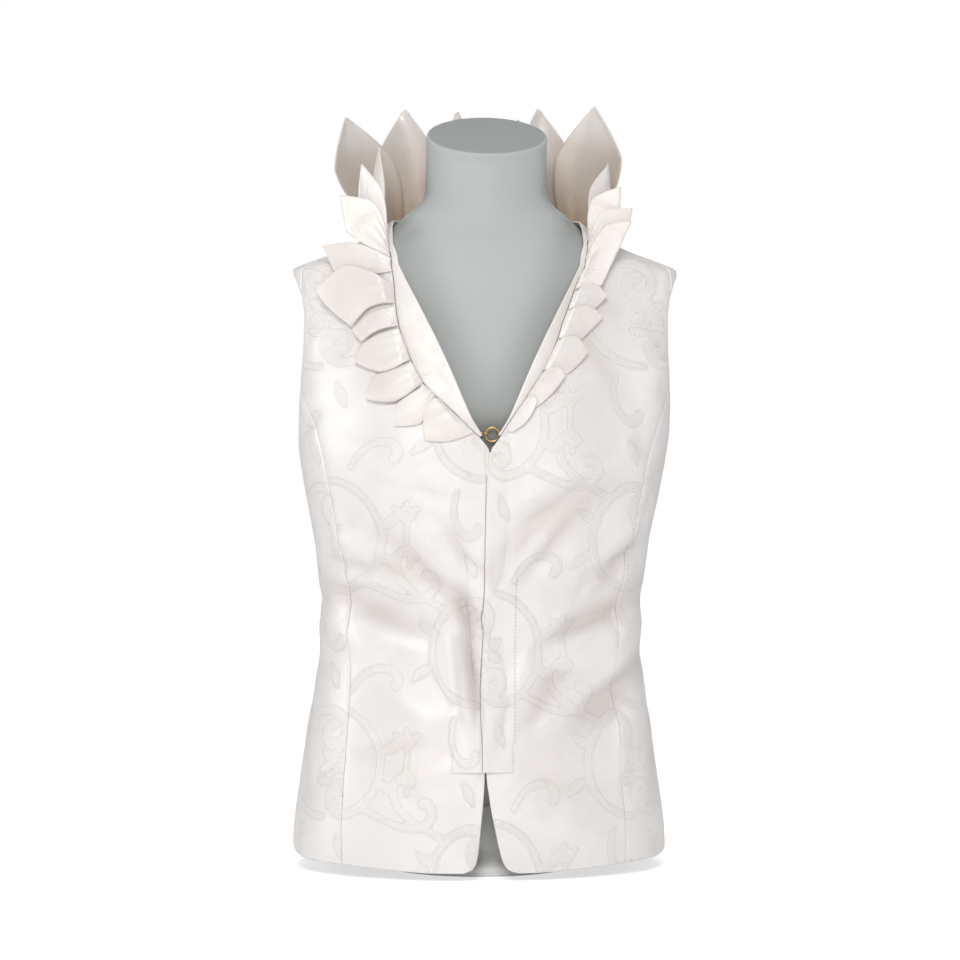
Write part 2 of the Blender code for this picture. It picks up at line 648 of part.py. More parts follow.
def add_chest_petal(name, side, seam, petal):
    """A petal that lies on the front, drawn flat as (distance, height) and then laid on the cloth."""
    along, across = petal_shares()
    edge_x, edge_z = np.array(seam, float).T
    ends = [[np.interp(z, edge_z, edge_x) + SEAM_GAP, z] for z in (petal["low"], petal["high"])]
    low, high = np.array(ends)
    foot = np.array([petal["foot_x"], petal["foot_z"]])
    top = np.array([petal["top_x"], petal["top_z"]])
    axis = unit((foot + top) / 2 - (low + high) / 2)
    up = np.array([-axis[1], axis[0]])
    low_line = low + along[..., None] * (foot - low) - up * (belly(along) * petal["low_belly"])[..., None]
    high_line = high + along[..., None] * (top - high) + up * (belly(along) * petal["high_belly"])[..., None]
    flat = (1 - across[..., None]) * low_line + across[..., None] * high_line
    flat = flat + axis * (along**3 * 4 * across * (1 - across) * petal["end_belly"])[..., None]
    height = flat[..., 1]
    angle = angle_of(flat[..., 0], height) * side
    surface, normal = coat_surface(angle, height), coat_normal(angle, height)
    lift = (CLOTH + REST_GAP + petal_lift(petal, along, across))[..., None]
    add_wall(name, surface + normal * lift, surface + normal * (lift + PETAL), "petal_cloth")


def seam_base(line, side, petal, across, tilt):
    """The base of a petal on its seam at shares of its width, for a lean off the cloth given as a sine."""
    angle = np.radians(petal["low"] + (petal["high"] - petal["low"]) * across)
    height = np.interp(angle, line[:, 0], line[:, 1])
    base = coat_surface(angle * side, height)
    raised = CLOTH + REST_GAP + petal["seat"] + tilt * PETAL / 2
    base = base + coat_normal(angle * side, height) * raised
    base[..., 0] *= side
    return base


def add_collar_petal(name, side, line, petal):
    """A petal that stands up round the neck, from its base in the seam and its two outer corners."""
    along, across = petal_shares()
    ends = np.array([0.0, 1.0])
    low, high = seam_base(line, side, petal, ends, 1)
    top, foot = np.array(petal["top"], float), np.array(petal["foot"], float)
    axis = unit((foot + top) / 2 - (low + high) / 2)
    way_out = unit(low + high - seam_base(line, side, petal, ends, 0).sum(axis=0))
    tilt = math.sqrt(1 - (axis @ way_out) ** 2)
    low, high = seam_base(line, side, petal, ends, tilt)
    way = np.array(petal["across"], float)
    way = unit(way - (way @ axis) * axis)
    face = np.cross(axis, way)
    share = along[..., None]
    low_line = low + share * (foot - low) - way * (belly(along) * petal["low_belly"])[..., None]
    high_line = high + share * (top - high) + way * (belly(along) * petal["high_belly"])[..., None]
    middle = (1 - across[..., None]) * low_line + across[..., None] * high_line
    straight = (1 - across[..., None]) * low + across[..., None] * high
    bowed = seam_base(line, side, petal, across, tilt) - straight
    middle = middle + bowed * (1 - share) ** 2
    cup = petal["cup"] * 4 * across * (1 - across) * np.sin(math.pi * along)
    middle = middle + face * (petal_lift(petal, along, across) - cup)[..., None]
    step_along, step_across = np.gradient(middle, axis=0), np.gradient(middle, axis=1)
    thick = unit(np.cross(step_along, step_across)) * PETAL / 2
    inner, outer = middle - thick, middle + thick
    inner[..., 0] *= side
    outer[..., 0] *= side
    add_wall(name, inner, outer, "petal_cloth")


def add_form():
    """The dress form: torso, shoulders and neck in one, with a sloping flat top."""
    heights = np.array([row[0] for row in FORM_RINGS[:-1]], float)
    angle = np.linspace(0, 2 * math.pi, FORM_AROUND, endpoint=False)
    angle = (angle + math.pi) % (2 * math.pi) - math.pi
    grid_angle, grid_height = np.meshgrid(angle, heights, indexing="xy")
    rings = ring_point(FORM_RINGS, grid_angle, grid_height)
    swell = FORM_SWELL * bust_swell(grid_angle, grid_height)
    rings = rings + outward(grid_angle) * swell[..., None]
    worn = coat_surface(grid_angle, grid_height)
    worn = worn - coat_normal(grid_angle, grid_height) * SHOULDER_GAP
    on_shoulder = ((grid_height >= SHOULDER_FROM) & (grid_height <= SHOULDER_TO))[..., None]
    rings = np.where(on_shoulder, worn, rings)
    rings[..., 0] = np.clip(rings[..., 0], -ARM_PLATE, ARM_PLATE)
    top = ring_point(FORM_RINGS, angle, np.full(len(angle), NECK_TOP))
    top[:, 2] += math.tan(NECK_CAP_TILT) * top[:, 1]
    middle = top.mean(axis=0)
    rim = middle + (top - middle) * NECK_RIM_SHARE
    top[:, 2] -= NECK_RIM_DROP
    add_rings("dress_form", np.concatenate([rings, top[None], rim[None]]), "form_paint")


def add_foot():
    """The plain turned foot below the form."""
    angle = np.linspace(0, 2 * math.pi, FORM_AROUND, endpoint=False)
    rings = [outward(angle) * radius + np.array([0, 0, height]) for radius, height in FOOT_PROFILE]
    add_rings("form_foot", np.array(rings), "foot_paint")


def add_wire(name, points, radius, closed=False):
    """A tube of wire through points."""
    points = leant(points)
    curve = bpy.data.curves.new(name, "CURVE")
    curve.dimensions = "3D"
    curve.bevel_depth = radius * MM
    curve.bevel_resolution = 1
    curve.use_fill_caps = not closed
    spline = curve.splines.new("POLY")
    spline.points.add(len(points) - 1)
    for point, place in zip(spline.points, points):
        point.co = (*(np.array(place) * MM), 1)
    spline.use_cyclic_u = closed
    curve.materials.append(material("gilt_wire"))
    thing = bpy.data.objects.new(name, curve)
    bpy.context.scene.collection.objects.link(thing)


def add_clasp():
    """The gilt ring and hook behind the foot of the neckline."""
    behind = coat_surface(np.array(0.0), np.array(RING["z"]))[1] + RING["behind"]
    middle = np.array([RING["x"], behind, RING["z"]])
    turn = np.linspace(0, 2 * math.pi, RING["around"], endpoint=False)
    loop = np.stack([np.cos(turn), 0 * turn, np.sin(turn)], -1) * RING["radius"]
    add_wire("clasp_ring", middle + loop, RING["wire"], closed=True)
    add_wire("clasp_hook", middle + np.array(HOOK), HOOK_WIRE)


def main():
    for thing in list(bpy.data.objects):
        bpy.data.objects.remove(thing, do_unlink=True)
    add_form()
    add_foot()
    for name, side in SIDES.items():
        front = front_grid(name)
        add_cloth(f"front_{name}", front, side)
        add_strip(name, side, front)
        add_cloth(f"side_front_{name}", side_front_grid(), side)
        add_cloth(f"side_back_{name}", side_back_grid(), side)
        add_cloth(f"back_{name}", back_grid(name), side)
        add_cloth(f"neck_band_{name}", band_grid(name), side)
        seam = PETAL_SEAM[name]
        for number, row in enumerate(CHEST_PETALS[name], 1):
            add_chest_petal(f"petal_{name}_{number:02d}", side, seam, dict(zip(CHEST_COLUMNS, row)))
        line = petal_seam_line(name)
        for number, row in enumerate(COLLAR_PETALS[name], len(CHEST_PETALS[name]) + 1):
            add_collar_petal(f"petal_{name}_{number:02d}", side, line, dict(zip(COLLAR_COLUMNS, row)))
    add_clasp()


main()
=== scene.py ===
import math

import bpy
import numpy as np
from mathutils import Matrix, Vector


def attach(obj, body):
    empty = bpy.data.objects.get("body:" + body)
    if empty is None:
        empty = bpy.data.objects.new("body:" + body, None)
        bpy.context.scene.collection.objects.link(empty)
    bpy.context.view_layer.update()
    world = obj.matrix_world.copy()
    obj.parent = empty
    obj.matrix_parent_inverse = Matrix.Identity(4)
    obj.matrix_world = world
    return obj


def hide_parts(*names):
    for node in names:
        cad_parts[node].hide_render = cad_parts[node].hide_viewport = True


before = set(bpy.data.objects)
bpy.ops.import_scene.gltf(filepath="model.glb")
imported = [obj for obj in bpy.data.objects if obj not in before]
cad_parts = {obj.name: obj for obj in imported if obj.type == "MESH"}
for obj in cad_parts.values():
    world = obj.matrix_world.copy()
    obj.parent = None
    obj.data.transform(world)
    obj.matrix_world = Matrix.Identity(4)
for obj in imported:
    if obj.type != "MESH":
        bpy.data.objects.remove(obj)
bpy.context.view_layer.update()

scene = bpy.context.scene
sides = {"left": -1, "right": 1}
print("frame loaded")

# All lengths are millimetres until a mesh is made; the front faces -Y and left is at -X.


# ---- the worn shape: rings of (height, half width, front, back, centre, squareness) from the hem to the nape
bodyShape = {
    "coat": (
        (-10, 174, 123, 119, 0, 2.25), (35, 172.5, 121, 117, 0, 2.25),
        (78, 167, 116.5, 113, 0, 2.25), (120, 161, 110, 106, 0, 2.25),
        (165, 154, 103, 97.5, 0, 2.25), (205, 149.5, 98.5, 91, 0, 2.25),
        (235, 148.5, 98, 88.5, 0, 2.25), (275, 152, 103.5, 91, 0, 2.25),
        (310, 157, 110.5, 95, 0, 2.25), (345, 163.5, 117.5, 99, 1, 2.25),
        (375, 169, 121, 101, 1, 2.25), (410, 174, 120.5, 103, 2, 2.25),
        (450, 177, 115, 103.5, 3, 2.25), (500, 179, 104.5, 101, 5, 2.2),
        (530, 181, 97, 98, 7, 2.15), (550, 181.5, 91.5, 95, 8, 2.1),
        (557, 180, 89, 93.3, 8, 2.1), (563, 168, 86, 91.3, 8, 2.1),
        (569, 151, 83.2, 89.1, 8, 2.1), (576, 133, 80, 86.5, 8, 2.1),
        (584, 117, 76, 83, 8, 2.1), (592, 103, 72, 79, 8, 2.1), (600, 92, 69, 75, 8, 2.1),
        (610, 81, 66, 72, 8, 2.1),
    ),
    "form": (
        (62, 132, 80, 76, 0, 2.2), (66, 148, 96, 92, 0, 2.2),
        (78, 158, 106, 102, 0, 2.2), (120, 154, 102, 99, 0, 2.2),
        (165, 145, 94, 90, 0, 2.2), (205, 139.5, 89, 83, 0, 2.2),
        (235, 138, 88, 80.5, 0, 2.2), (275, 142, 94, 84, 0, 2.2),
        (310, 148.5, 103, 89, 0, 2.2), (345, 156.5, 111.5, 93.5, 1, 2.2),
        (375, 162.5, 115, 96, 1, 2.2), (410, 166.5, 114.5, 98, 2, 2.2),
        (450, 168, 108.5, 98.5, 3, 2.2), (500, 170.5, 98, 96, 5, 2.15),
        (530, 173, 90.5, 93, 7, 2.1), (542, 174, 88, 91.5, 8, 2.1),
        (550, 176, 87, 90.5, 8, 2.1), (556, 173, 85, 88.5, 8, 2.1),
        (562, 164, 82.5, 86.5, 8, 2.1), (570, 146, 79, 83.5, 8, 2.1),
        (580, 122, 74, 79.5, 8, 2.1), (590, 99, 69, 75, 8, 2.1),
        (598, 89, 65.5, 72, 8, 2.1), (608, 78.5, 62.5, 68, 8, 2.1),
        (625, 60.5, 57, 61, 7, 2), (636, 57.5, 55, 58.5, 6, 2),
        (656, 57, 54, 57, 4.8, 2), (720, 57, 54, 57, 0, 2),
    ),
    "reach": 150.0,  # turns an angle into a distance where the exact radius does not matter
    "lean": 0.013,
    "leanFrom": 100.0,
    "bustAngle": 36.0,
    "bustHeight": 378.0,
    "bustSpread": 21.0,
    "bustTall": 52.0,
    "bustDepth": 6.0,
}

# ---- folds and creases: (degrees round, height, slant, length, width, depth, bow)
drape = {
    "radius": 120.0,
    "foldShare": 1.6,
    "creaseShare": 1.7,
    "paintedShadeFullAt": 4.5,  # the trough depth at which the painted shade in the folds is darkest
    "roundStep": 1e-3,  # steps round and up that the surface's normal is worked out from
    "upStep": 0.2,
    "folds": (
        (-21, 291, -43, 58, 10, 2, 0), (-24, 269, -43, 60, 11, -2.8, 0), (-8, 196, -80, 66, 10, -2.4, 0),
        (-17, 190, -78, 60, 9, 2.4, 0), (-52, 240, -25, 40, 14, -3, 0), (-58, 214, -20, 44, 13, 2.2, 0),
        (26, 322, 40, 60, 14, -2.4, 0), (50, 232, 24, 46, 13, -3.4, 0), (46, 206, 20, 50, 13, 2.8, 0),
        (62, 176, 28, 42, 13, -2.6, 0), (30, 168, 62, 44, 12, -2, 0), (140, 236, 20, 60, 16, -2.6, 0),
        (-142, 244, -22, 60, 16, -2.6, 0), (168, 214, 10, 70, 14, -2.2, 0), (-166, 210, -12, 66, 14, -2.2, 0),
    ),
    "creases": (
        (-7, 196, -82, 66, 7, -1.9, 0), (58, 306, 36, 34, 9, 1.4, 0), (60, 289, 36, 36, 10, -2, 0),
        (25, 312, 54, 34, 8, 1.3, 0), (28, 298, 54, 36, 8, -1.9, 0), (56, 178, 34, 38, 11, 1.4, 0),
        (57, 157, 34, 40, 14, -2.2, 0), (-56, 300, -10, 26, 9, 1.4, 0), (-57, 283, -10, 28, 9, -1.8, 0),
        (-30, 352, -20, 34, 6, -0.7, 0.2), (-24, 338, -34, 40, 6, 0.8, 0.1), (-14, 300, -50, 34, 5, -0.9, 0.2),
        (-9, 262, -72, 40, 4.5, -1, 0.1), (-8, 232, -84, 34, 4, 0.7, 0.1), (-15, 232, -64, 30, 6, 0.9, 0.2),
        (-26, 226, -30, 34, 7, -0.8, 0.3), (-34, 206, -14, 30, 7, 0.7, -0.2), (-22, 172, -60, 34, 6, -0.8, 0.2),
        (-12, 158, -76, 30, 5, -0.9, 0.1), (-30, 146, -20, 30, 8, 0.7, 0.3), (-40, 118, 12, 36, 9, -0.7, -0.2),
        (-18, 96, 30, 28, 8, 0.6, 0.2), (-44, 268, -36, 30, 7, 0.8, 0.2), (-50, 292, -50, 30, 6, -0.8, 0.2),
        (-62, 262, -8, 26, 6, -0.9, 0.2), (-70, 236, 6, 24, 7, 0.9, 0.2), (-40, 62, -18, 34, 9, 0.7, 0.2),
        (-28, 410, 16, 30, 9, -0.7, 0.2), (-42, 440, 52, 34, 8, 0.7, -0.2), (-58, 480, 64, 36, 9, -0.9, 0.2),
        (-66, 505, 70, 30, 7, 0.8, 0.1), (-72, 410, 40, 22, 6, -0.7, 0.2), (-48, 396, -12, 26, 8, -0.6, 0.2),
        (18, 346, 30, 34, 6, 0.8, 0.2), (30, 344, 44, 38, 6, -0.9, 0.2), (14, 304, 52, 34, 6, 0.7, -0.2),
        (8, 280, 76, 34, 5, -0.8, 0.2), (40, 292, 30, 34, 7, 0.8, 0.2), (56, 270, 60, 30, 6, -1.1, 0.2),
        (44, 256, 74, 34, 6, -0.9, 0.1), (36, 232, 40, 30, 7, 0.8, 0.2), (58, 214, 30, 28, 6, -0.9, 0.2),
        (38, 184, 18, 34, 7, -0.9, 0.3), (20, 196, 70, 36, 6, 0.7, 0.1), (10, 150, 80, 34, 6, -0.8, 0.1),
        (24, 132, 24, 30, 8, 0.7, -0.2), (44, 146, 40, 32, 8, -0.8, 0.2), (54, 110, 60, 34, 8, 0.7, 0.2),
        (34, 84, -14, 36, 9, -0.7, 0.2), (16, 66, 10, 30, 9, 0.6, 0.2), (60, 84, 70, 30, 8, -0.8, 0.1),
        (46, 470, -72, 44, 8, -0.9, 0.1), (62, 500, -66, 36, 8, 0.9, 0.1), (54, 520, -40, 30, 8, -0.7, 0.1),
        (38, 420, -26, 30, 8, 0.7, 0.2), (60, 396, -60, 26, 7, -0.7, 0.2), (70, 330, 80, 34, 7, -0.8, 0.1),
        (82, 250, -10, 34, 10, -0.5, 0.2), (86, 226, -6, 34, 10, 0.4, 0.2), (90, 300, -30, 34, 9, -0.5, 0.2),
        (84, 196, 14, 34, 10, -0.5, 0.2), (96, 150, 60, 34, 9, 0.8, 0.2), (80, 112, 74, 40, 9, -0.9, 0.1),
        (-84, 252, 8, 34, 10, -0.5, 0.2), (-88, 224, 6, 34, 10, 0.4, 0.2), (-92, 296, 32, 34, 9, -0.5, 0.2),
        (-84, 190, -14, 34, 10, -0.5, 0.2), (-98, 148, -60, 34, 9, 0.8, 0.2), (-82, 106, -72, 40, 9, -0.8, 0.1),
        (104, 254, 10, 34, 8, -1.2, 0.2), (108, 226, 14, 38, 8, 1, 0.2), (120, 270, 40, 34, 8, -0.9, 0.2),
        (130, 214, 8, 40, 8, -1.2, 0.2), (138, 192, 4, 40, 8, 1, 0.2), (152, 250, 24, 40, 9, -1, 0.2),
        (160, 286, 50, 40, 9, 0.8, 0.2), (150, 330, 64, 50, 10, -0.9, 0.1), (170, 236, 6, 34, 8, -1.1, 0.2),
        (174, 196, -4, 34, 8, 0.9, 0.2), (158, 160, 30, 40, 9, -0.9, 0.2), (140, 120, 70, 46, 10, 0.9, 0.1),
        (166, 90, 80, 46, 10, -0.8, 0.1), (124, 90, 76, 40, 9, -0.8, 0.1), (128, 470, 66, 50, 9, -1, 0.1),
        (140, 520, 40, 40, 9, 0.8, 0.1), (156, 560, 20, 34, 8, -0.7, 0.1), (120, 420, 50, 36, 8, -0.8, 0.2),
        (-104, 250, -10, 34, 8, -1.2, 0.2), (-110, 222, -12, 38, 8, 1, 0.2), (-122, 274, -40, 34, 8, -0.9, 0.2),
        (-128, 218, -10, 40, 8, -1.1, 0.2), (-136, 194, -6, 40, 8, 1, 0.2), (-150, 256, -20, 40, 9, -1, 0.2),
        (-162, 280, -50, 40, 9, 0.8, 0.2), (-148, 336, -62, 50, 10, -0.9, 0.1), (-172, 228, -8, 34, 8, -1, 0.2),
        (-158, 168, -34, 40, 9, -0.9, 0.2), (-138, 126, -68, 46, 10, 0.9, 0.1), (-168, 96, 78, 46, 10, -0.8, 0.1),
        (-122, 86, -78, 40, 9, -0.8, 0.1), (-130, 464, -64, 50, 9, -1, 0.1), (-142, 516, -44, 40, 9, 0.8, 0.1),
        (-158, 556, -20, 34, 8, -0.7, 0.1), (-118, 424, -48, 36, 8, -0.8, 0.2),
    ),
}


def smoothCurve(at, knots, values):
    # cubic through the knots; its slope at a knot is the harmonic mean of the slopes beside it, so it never overshoots
    knots, values = np.asarray(knots, float), np.asarray(values, float)
    step, rise = np.diff(knots), np.diff(values)
    slope = rise / step
    tangent = np.empty_like(values)
    tangent[0], tangent[-1] = slope[0], slope[-1]
    sameWay = slope[:-1] * slope[1:] > 0
    total = np.where(sameWay, slope[:-1] + slope[1:], 1.0)
    tangent[1:-1] = np.where(sameWay, 2 * slope[:-1] * slope[1:] / total, 0.0)
    at = np.clip(np.asarray(at, float), knots[0], knots[-1])
    i = np.clip(np.searchsorted(knots, at) - 1, 0, len(step) - 1)
    t = (at - knots[i]) / step[i]
    bend = step[i] * (tangent[i] * t * (1 - t) ** 2 - tangent[i + 1] * t**2 * (1 - t))
    return values[i] + rise[i] * (3 - 2 * t) * t**2 + bend


def unit(vectors):
    # each vector over its own length
    return vectors / np.maximum(np.linalg.norm(vectors, axis=-1, keepdims=True), 1e-9)


def ringValues(which, height):
    # half width, front, back, centre and squareness, read smoothly between the rings
    columns = np.array(bodyShape[which], float).T
    return [smoothCurve(height, columns[0], column) for column in columns[1:]]


def ringPoint(which, angle, height):
    # superellipse: |x / half width|^n + |y / depth|^n = 1, met by a ray at the angle
    halfWidth, front, back, centre, square = ringValues(which, height)
    depth = np.where(np.cos(angle) > 0, front, back)
    reach = np.abs(np.sin(angle) / halfWidth) ** square + np.abs(np.cos(angle) / depth) ** square
    reach = reach ** (-1 / square)
    return np.stack([reach * np.sin(angle), centre - reach * np.cos(angle), height + 0 * angle], -1)


def outward(angle):
    # level and of length one: (sine, -cosine, 0) of the angle
    return np.stack([np.sin(angle), -np.cos(angle), 0 * angle], -1)


def bustSwell(angle, height):
    # a bell over each cup: depth * exp(-across^2 - up^2)
    across = (np.abs(np.degrees(angle)) - bodyShape["bustAngle"]) / bodyShape["bustSpread"]
    up = (height - bodyShape["bustHeight"]) / bodyShape["bustTall"]
    return bodyShape["bustDepth"] * np.exp(-(across**2) - up**2)


def foldSwell(angle, height, rows):
    # sum of bells stretched along bowed slanting lines: depth * exp(-(along / length)^2 - (across / width)^2)
    total = np.zeros(np.shape(angle))
    for at, up0, slant, length, width, depth, bow in rows:
        roundIt = np.radians((np.degrees(angle) - at + 180) % 360 - 180) * drape["radius"]
        up = height - up0
        c, s = math.cos(math.radians(slant)), math.sin(math.radians(slant))
        along = (roundIt * c + up * s) / length
        across = (up * c - roundIt * s - bow * length * along**2) / width
        total += depth * np.exp(-(along**2) - across**2)
    return total


def foldDepth(angle, height):
    # the folds plus the creases, each times its share
    folds = drape["foldShare"] * foldSwell(angle, height, drape["folds"])
    return folds + drape["creaseShare"] * foldSwell(angle, height, drape["creases"])


def paintedFoldShadeShare(angle, height):
    # how deep the troughs of the folds go, from nothing to one, which sets the painted shade there
    return np.clip(-foldDepth(angle, height) / drape["paintedShadeFullAt"], 0, 1)


def coatSurface(angle, height):
    # ring of the coat pushed out by the bust, the folds and the creases
    swell = bustSwell(angle, height) + foldDepth(angle, height)
    return ringPoint("coat", angle, height) + outward(angle) * swell[..., None]


def coatNormal(angle, height):
    # cross product of small steps round and up
    turn, rise = drape["roundStep"], drape["upStep"]
    roundIt = coatSurface(angle + turn, height) - coatSurface(angle - turn, height)
    up = coatSurface(angle, height + rise) - coatSurface(angle, height - rise)
    return unit(np.cross(roundIt, up))


def angleOf(x, height):
    # the superellipse solved for the depth at x, then the arc tangent of x over it
    halfWidth, front, _, _, square = ringValues("coat", height)
    ahead = front * (1 - np.clip(x / halfWidth, 0, 1) ** square) ** (1 / square)
    return np.arctan2(x, ahead)


def onFront(rows):
    # (distance to the side, height) to (angle, height)
    x, height = np.array(rows, float).T
    return np.stack([angleOf(x, height), height], -1)


def inDegrees(rows):
    # (degrees, height) to (angle, height)
    angle, height = np.array(rows, float).T
    return np.stack([np.radians(angle), height], -1)


def runningSum(steps):
    # nothing, the first step, the first two steps together, and so on
    return np.concatenate([[0], np.cumsum(steps)])


def seamRun(knots, count):
    # points evenly spaced along a smooth line through (angle, height)
    at = runningSum(np.linalg.norm(np.diff(knots * np.array([bodyShape["reach"], 1.0]), axis=0), axis=1))
    wanted = np.linspace(0, 1, count + 1)
    return np.stack([smoothCurve(wanted, at / at[-1], knots[:, k]) for k in (0, 1)], -1)


def joined(*lines):
    # lines end to end, where each starts at the last point of the one before
    return np.concatenate([lines[0]] + [line[1:] for line in lines[1:]])


def leant(points):
    # the whole figure leans a little to the right above the hip
    points = np.array(points, float)
    points[..., 0] += bodyShape["lean"] * np.clip(points[..., 2] - bodyShape["leanFrom"], 0, None)
    return points


# ---- the woven figure: strokes whose heading turns along them, on a half-drop repeat
brocade = {
    "width": 164.0,
    "height": 206.0,
    "sample": 0.9,
    "bold": 1.1,
    "turnAt": 0.55,  # shares of a stroke's length at which its middle turn and its middle width are reached
    "wideAt": 0.5,
    "margin": 8.0,  # how far past the repeat the strokes of its neighbours are kept
    "chunk": 6000,  # points worked out at a time
    # x, z, heading, length, turn at the start, middle and end in degrees a mm, half width at start, middle, end
    "strokes": (
        (-6, -50, 182, 226, -1.1, -1.25, -7.5, 1.9, 2.5, 4),
        (10, 52, -6, 214, -1.05, -1.2, -8.5, 1.9, 2.5, 3.8),
        (40, -40, -20, 92, -0.6, 1.6, 8.5, 1.8, 2.3, 3.6),
        (-44, 36, 150, 96, 0.5, -1.5, -8, 1.8, 2.2, 3.6),
        (-34, -62, 250, 60, 1, 2.4, 9, 1.7, 2.1, 3.4),
        (30, 64, 64, 64, -1, -2.2, -9, 1.7, 2.1, 3.4),
        (-58, -14, 205, 24, 0.4, 1.2, 1.6, 0.8, 3.6, 0.6),
        (-52, 14, 160, 22, -0.4, -1.2, -1.6, 0.8, 3.4, 0.6),
        (58, 10, 24, 24, 0.4, 1.2, 1.6, 0.8, 3.6, 0.6),
        (54, -16, -24, 22, -0.4, -1.2, -1.6, 0.8, 3.4, 0.6),
        (-14, 68, 110, 22, 0.6, 1, 1.6, 0.8, 3.4, 0.6),
        (12, -66, -76, 22, 0.6, 1, 1.6, 0.8, 3.4, 0.6),
        (0, 4, 90, 15, 0, 0, 0, 1.4, 4, 1.2),
        (3, 2, 30, 14, 0, 0, 0, 1.4, 3.8, 1.2),
        (3, -2, -28, 14, 0, 0, 0, 1.4, 3.8, 1.2),
        (-3, 2, 150, 14, 0, 0, 0, 1.4, 3.8, 1.2),
        (-3, -2, 208, 14, 0, 0, 0, 1.4, 3.8, 1.2),
        (0, -5, -90, 26, 0.5, 1.2, 1.5, 1.3, 1.3, 1.2),
        (2, -22, -10, 16, 2, 2.4, 1, 0.8, 2.8, 0.7),
        (-2, -18, 190, 16, -2, -2.4, -1, 0.8, 2.8, 0.7),
        (82, -26, 90, 40, 0.4, -0.4, 0.4, 1.3, 1.6, 1.3),
        (82, 14, 118, 18, 1, 2, 2.4, 0.8, 3, 0.7),
        (82, 14, 62, 18, -1, -2, -2.4, 0.8, 3, 0.7),
        (82, 16, 90, 16, 0, 0, 0, 0.9, 3.2, 0.7),
    ),
}


def strokeSamples():
    # heading = start + running sum of the turn, place = running sum of (cos, sin) of the heading
    found = []
    for x, z, heading, length, turn0, turn1, turn2, half0, half1, half2 in brocade["strokes"]:
        s = np.linspace(0, length, int(length / brocade["sample"]) + 1)
        step = np.diff(s)
        turn = smoothCurve(s, (0, length * brocade["turnAt"], length), (turn0, turn1, turn2))
        way = np.radians(heading + runningSum((turn[1:] + turn[:-1]) / 2 * step))
        midway = (way[1:] + way[:-1]) / 2
        half = smoothCurve(s, (0, length * brocade["wideAt"], length), (half0, half1, half2)) * brocade["bold"]
        found.append(np.stack([x + runningSum(np.cos(midway) * step), z + runningSum(np.sin(midway) * step), half], -1))
    cell = np.concatenate(found)
    w, h, margin = brocade["width"], brocade["height"], brocade["margin"]
    repeats = ((0, 0), (0, 1), (0, -1), (1, 0.5), (1, -0.5), (-1, 0.5), (-1, -0.5), (2, 0), (-2, 0))
    every = np.concatenate([cell + np.array([i * w, j * h, 0]) for i, j in repeats])
    near = (np.abs(every[:, 0]) < w / 2 + margin) & (np.abs(every[:, 1]) < h / 2 + margin)
    return every[near].astype(np.float32)


figureSamples = strokeSamples()
print("figure of the brocade laid out:", len(figureSamples), "samples")


def figureAt(u, v):
    # distance to the nearest stroke less that stroke's half width, in a half-drop repeat
    w, h = brocade["width"], brocade["height"]
    column = np.floor(u / w + 0.5)
    lowered = v - (column % 2) * h / 2
    x = (u - column * w).ravel().astype(np.float32)
    z = (lowered - np.floor(lowered / h + 0.5) * h).ravel().astype(np.float32)
    gap = np.empty(x.size, np.float32)
    for part in np.array_split(np.arange(x.size), max(1, x.size // brocade["chunk"])):
        away = (x[part, None] - figureSamples[:, 0]) ** 2 + (z[part, None] - figureSamples[:, 1]) ** 2
        gap[part] = (np.sqrt(away) - figureSamples[:, 2]).min(axis=1)
    return gap.reshape(u.shape)


# ---- meshes
def addThing(name, data):
    made = bpy.data.objects.new(name, data)
    scene.collection.objects.link(made)
    return made


def addPiece(name, points, faces, finishes, node, values=(), cell=None):
    # a smooth mesh from points in mm, with float attributes at its points and uv in metres of cloth
    mesh = bpy.data.meshes.new(name)
    mesh.from_pydata((leant(points) / 1000).tolist(), [], faces)
    for finish in finishes:
        mesh.materials.append(finish)
    mesh.shade_smooth()
    for key, value in dict(values).items():
        made = mesh.attributes.new(key, "FLOAT", "POINT")
        made.data.foreach_set("value", np.asarray(value, np.float32).ravel())
    if cell is not None:
        corners = np.empty(len(mesh.loops), np.int32)
        mesh.loops.foreach_get("vertex_index", corners)
        layer = mesh.uv_layers.new(name="cloth")
        layer.data.foreach_set("uv", np.asarray(cell, np.float32)[corners].ravel())
    mesh.validate()
    piece = addThing(name, mesh)
    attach(piece, "root")
    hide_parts(node)
    return piece


def gridQuads(rows, columns, closed=False):
    # every cell of a grid of points as a quad; a closed grid joins its last column to its first
    number = np.arange(rows * columns).reshape(rows, columns)
    if closed:
        number = np.concatenate([number, number[:, :1]], axis=1)
    return np.stack([number[:-1, :-1], number[:-1, 1:], number[1:, 1:], number[1:, :-1]], -1).reshape(-1, 4)


def wallQuads(rows, columns):
    # an inner and an outer grid with a rim between them
    far = rows * columns
    grid = gridQuads(rows, columns)
    number = np.arange(far).reshape(rows, columns)
    rim = np.concatenate([number[0, :-1], number[:-1, -1], number[-1, :0:-1], number[:0:-1, 0]])
    after = np.roll(rim, -1)
    return np.concatenate([grid + far, grid[:, ::-1], np.stack([rim, after, after + far, rim + far], -1)])


def fannedRings(rings, first, last):
    # a stack of closed rings, with a fan at either end round a point of its own
    rows, columns = rings.shape[:2]
    low = np.arange(columns)
    high = low + (rows - 1) * columns
    lowFan = np.stack([np.roll(low, -1), low, np.full(columns, rows * columns)], -1)
    highFan = np.stack([high, np.roll(high, -1), np.full(columns, rows * columns + 1)], -1)
    points = np.concatenate([rings.reshape(-1, 3), [first, last]])
    return points, gridQuads(rows, columns, closed=True).tolist() + lowFan.tolist() + highFan.tolist()


